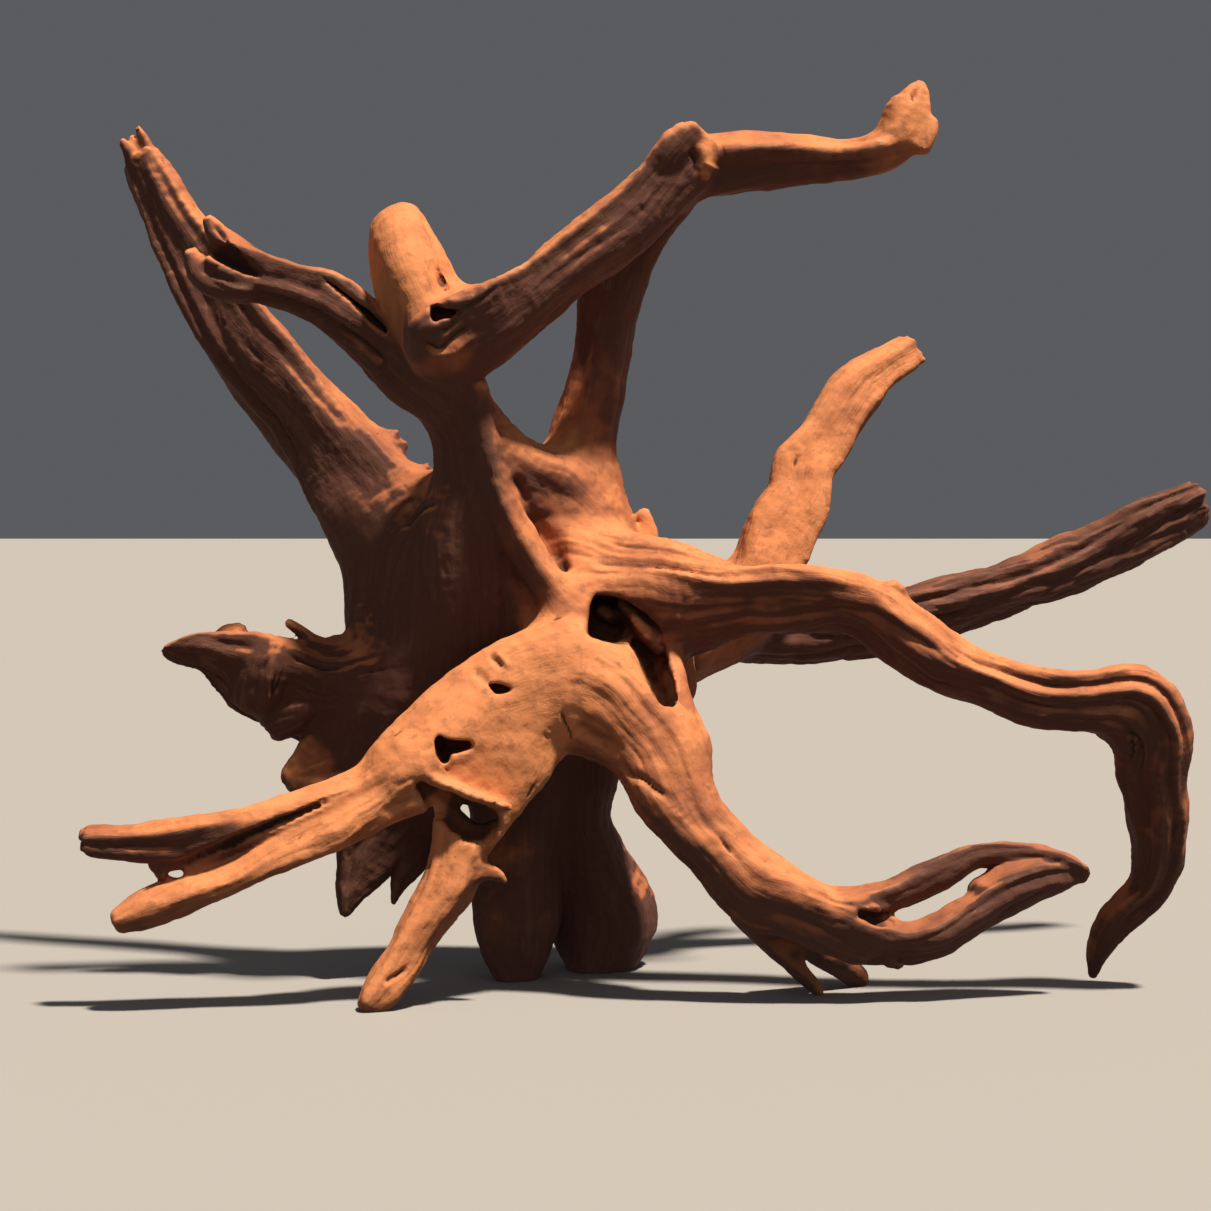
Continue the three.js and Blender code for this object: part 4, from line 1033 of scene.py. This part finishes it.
def stretched_noise(tree, vector, size, detail=2.0):
    """Noise whose patches have a size in millimetres along each of the vector's three parts."""
    scaled = add(tree, "VectorMath", {0: vector, 1: [1 / v for v in size]}, operation="MULTIPLY")
    return add(tree, "TexNoise", {"Vector": scaled.outputs[0], "Scale": 1.0, "Detail": detail,
                                  "Roughness": 0.6}).outputs["Fac"]


def wood_material(name, streaks, rubbed, roughness):
    """Weathered root wood: a body colour with streaks along its fibres and painted shade in its
    hollows.

    The grain attribute holds the place along and across the limb in millimetres. One attribute says
    how far a point stands proud, as wear; another is painted shade, how far it lies deep in a hollow,
    fold or crack; and the age says how dark it has weathered, with painted shade on the hidden sides
    and painted light on the upper ones. rubbed is how pale the proud places are. Where limbs meet the
    streaks fade by calm.
    """
    material = bpy.data.materials.new(name)
    material.use_nodes = True
    tree = material.node_tree
    shader = tree.nodes["Principled BSDF"]
    place = add(tree, "VectorMath", {0: add(tree, "TexCoord").outputs["Object"],
                                     1: [1 / MM] * 3}, operation="MULTIPLY").outputs[0]
    grain = add(tree, "Attribute", attribute_name="grain").outputs["Vector"]
    wear, hollow_shade, calm, age_and_shade = (add(tree, "Attribute", attribute_name=key).outputs["Fac"]
                              for key in ("wear", "hollow_shade", "calm", "age_and_shade"))
    # Real fibres are well under half a millimetre wide. They are drawn this coarse so that they show.
    fibre = stretched_noise(tree, grain, (13, 1.3, 1.3), 3.0)
    stroke = stretched_noise(tree, grain, (24, 2.2, 2.2), 1.0)
    band = stretched_noise(tree, grain, (90, 5, 5))
    patch = stretched_noise(tree, place, (42, 42, 42))
    cloud = stretched_noise(tree, place, (25, 25, 25), 4.0)
    blotch = stretched_noise(tree, place, (8, 8, 8), 5.0)

    def strength(value, low, high, at_low, at_high):
        """How strong something is as a value goes from low to high, with soft ends."""
        ends = {"Value": value, "From Min": low, "From Max": high, "To Min": at_low, "To Max": at_high}
        return add(tree, "MapRange", ends, interpolation_type="SMOOTHSTEP").outputs["Result"]

    def coat(under, over, value, low, high, at_low=0.0, at_high=1.0, calmed=False):
        """One colour laid over another, as strongly as a value says, and less where limbs meet."""
        share = strength(value, low, high, at_low, at_high)
        if calmed:
            share = add(tree, "Math", {0: share, 1: calm}, operation="MULTIPLY").outputs[0]
        return add(tree, "Mix", {0: share, 6: under, 7: over}, data_type="RGBA").outputs[2]

    # The age, with its painted light and shade, steps the colour from young to grown to old, and makes
    # the scuffed colour stronger where it is low.
    weathering_and_shade = add(tree, "Math", {0: strength(patch, 0.3, 0.7, -0.25, 0.25), 1: age_and_shade},
                operation="ADD").outputs[0]
    colour = coat(linear(YOUNG), linear(GROWN), weathering_and_shade, 0.0, 0.6)
    colour = coat(colour, linear(OLD), weathering_and_shade, 0.5, 1.1)
    paler = coat(colour, linear(SCUFFED), weathering_and_shade, 0.2, 1.0, 0.45, 0.2)
    darker = add(tree, "Mix", {0: 0.5, 6: colour, 7: linear(DEEP)}, data_type="RGBA").outputs[2]
    # The last coat is painted shade: the near-black of the hollows, laid where a point lies deep.
    for over, value, low, high, strongest, calmed in (
            (paler, band, 0.5, 0.75, streaks, True), (darker, band, 0.45, 0.25, streaks, True),
            (darker, fibre, 0.45, 0.27, streaks, True), (paler, stroke, 0.58, 0.7, 0.6 * streaks, True),
            (darker, blotch, 0.52, 0.7, 0.7, False), (darker, cloud, 0.5, 0.72, 0.6, False),
            (paler, wear, 0.1, 0.9, rubbed, False), (linear(HOLLOW_SHADE), hollow_shade, 0.1, 1.0, 0.85, False)):
        colour = coat(colour, over, value, low, high, 0.0, strongest, calmed)
    tree.links.new(colour, shader.inputs["Base Color"])
    tree.links.new(strength(wear, 0, 1, roughness, roughness - 0.14), shader.inputs["Roughness"])
    shader.inputs["Specular IOR Level"].default_value = 0.35
    calm_fibre = add(tree, "Math", {0: fibre, 1: calm}, operation="MULTIPLY").outputs[0]
    fine = add(tree, "Math", {0: calm_fibre, 1: 1.2 * streaks}, operation="MULTIPLY").outputs[0]
    height = add(tree, "Math", {0: blotch, 1: 0.9, 2: fine}, operation="MULTIPLY_ADD").outputs[0]
    bump = add(tree, "Bump", {"Height": height, "Strength": 0.8, "Distance": 1.1 * MM})
    tree.links.new(bump.outputs["Normal"], shader.inputs["Normal"])
    return material


def plain_material(name, colour, roughness):
    """A plain surface of one colour."""
    material = bpy.data.materials.new(name)
    material.use_nodes = True
    shader = material.node_tree.nodes["Principled BSDF"]
    shader.inputs["Base Color"].default_value = linear(colour)
    shader.inputs["Roughness"].default_value = roughness
    return material


def add_sun(name, place, strength, angle, colour):
    """A far, soft lamp that shines from a place in millimetres to the middle of the wood."""
    data = bpy.data.lights.new(name, "SUN")
    data.energy, data.angle, data.color = strength, math.radians(angle), linear(colour)[:3]
    lamp = bpy.data.objects.new(name, data)
    lamp.location = [v * MM for v in place]
    way = -np.array(place, float)
    lamp.rotation_euler = (math.acos(-way[2] / np.linalg.norm(way)), 0, math.atan2(-way[0], way[1]))
    bpy.context.scene.collection.objects.link(lamp)


grid = Grid(SOLID_BOX)
surface = grow_surface(grid)
materials = {
    # Bark stripped, then worn smooth by water and handling: even and matt, with pale rubbed crests.
    "smooth_wood": wood_material("spider wood root, worn smooth", 0.28, 0.85, 0.80),
    # The same root where weather has opened its fibres: streaks and dark bands along the furrows.
    "grooved_wood": wood_material("spider wood root, weathered in furrows", 0.45, 0.75, 0.84),
    # Torn ends and splinters, left as they broke: dull, dark and coarse.
    "torn_wood": wood_material("spider wood root, torn and splintered", 0.55, 0.35, 0.88),
}
for number, (node, slot) in enumerate(PIECES.items(), 1):
    piece = build_piece("wood_" + node, number, surface, materials[slot])
    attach(piece, "root")
    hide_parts("crown" if node.startswith("crown") else node)

floor_mesh = bpy.data.meshes.new("studio_floor")
floor_mesh.from_pydata([(x * FLOOR_REACH, y * FLOOR_REACH, 0)
                        for x, y in ((-1, -1), (1, -1), (1, 1), (-1, 1))], [], [(0, 1, 2, 3)])
floor_mesh.materials.append(plain_material("pale studio floor, matt painted", FLOOR_COLOUR, 0.9))
floor = bpy.data.objects.new("studio_floor", floor_mesh)
# The floor gives no light back to the wood, so that the undersides stay dark.
floor.visible_diffuse = False
bpy.context.scene.collection.objects.link(floor)

add_sun("key lamp", (560, -560, 1900), 6.2, 5, "#FFF4E8")
add_sun("fill lamp", (300, -2000, 900), 0.24, 60, "#F2F4FF")
world = bpy.data.worlds.new("pale room light")
world.use_nodes = True
world.node_tree.nodes["Background"].inputs["Color"].default_value = linear(ROOM_LIGHT)
world.node_tree.nodes["Background"].inputs["Strength"].default_value = ROOM_STRENGTH
bpy.context.scene.world = world

camera_data = bpy.data.cameras.new("camera")
camera_data.sensor_width = SENSOR_WIDTH
camera_data.lens = SENSOR_WIDTH * FOCAL_PIXELS / FRAME_PIXELS
camera = bpy.data.objects.new("camera", camera_data)
camera.location = CAMERA_PLACE * MM
camera.rotation_euler = (math.pi / 2 - CAMERA_DOWN, 0, 0)
bpy.context.scene.collection.objects.link(camera)
bpy.context.scene.camera = camera
bpy.context.scene.view_settings.view_transform = "Standard"
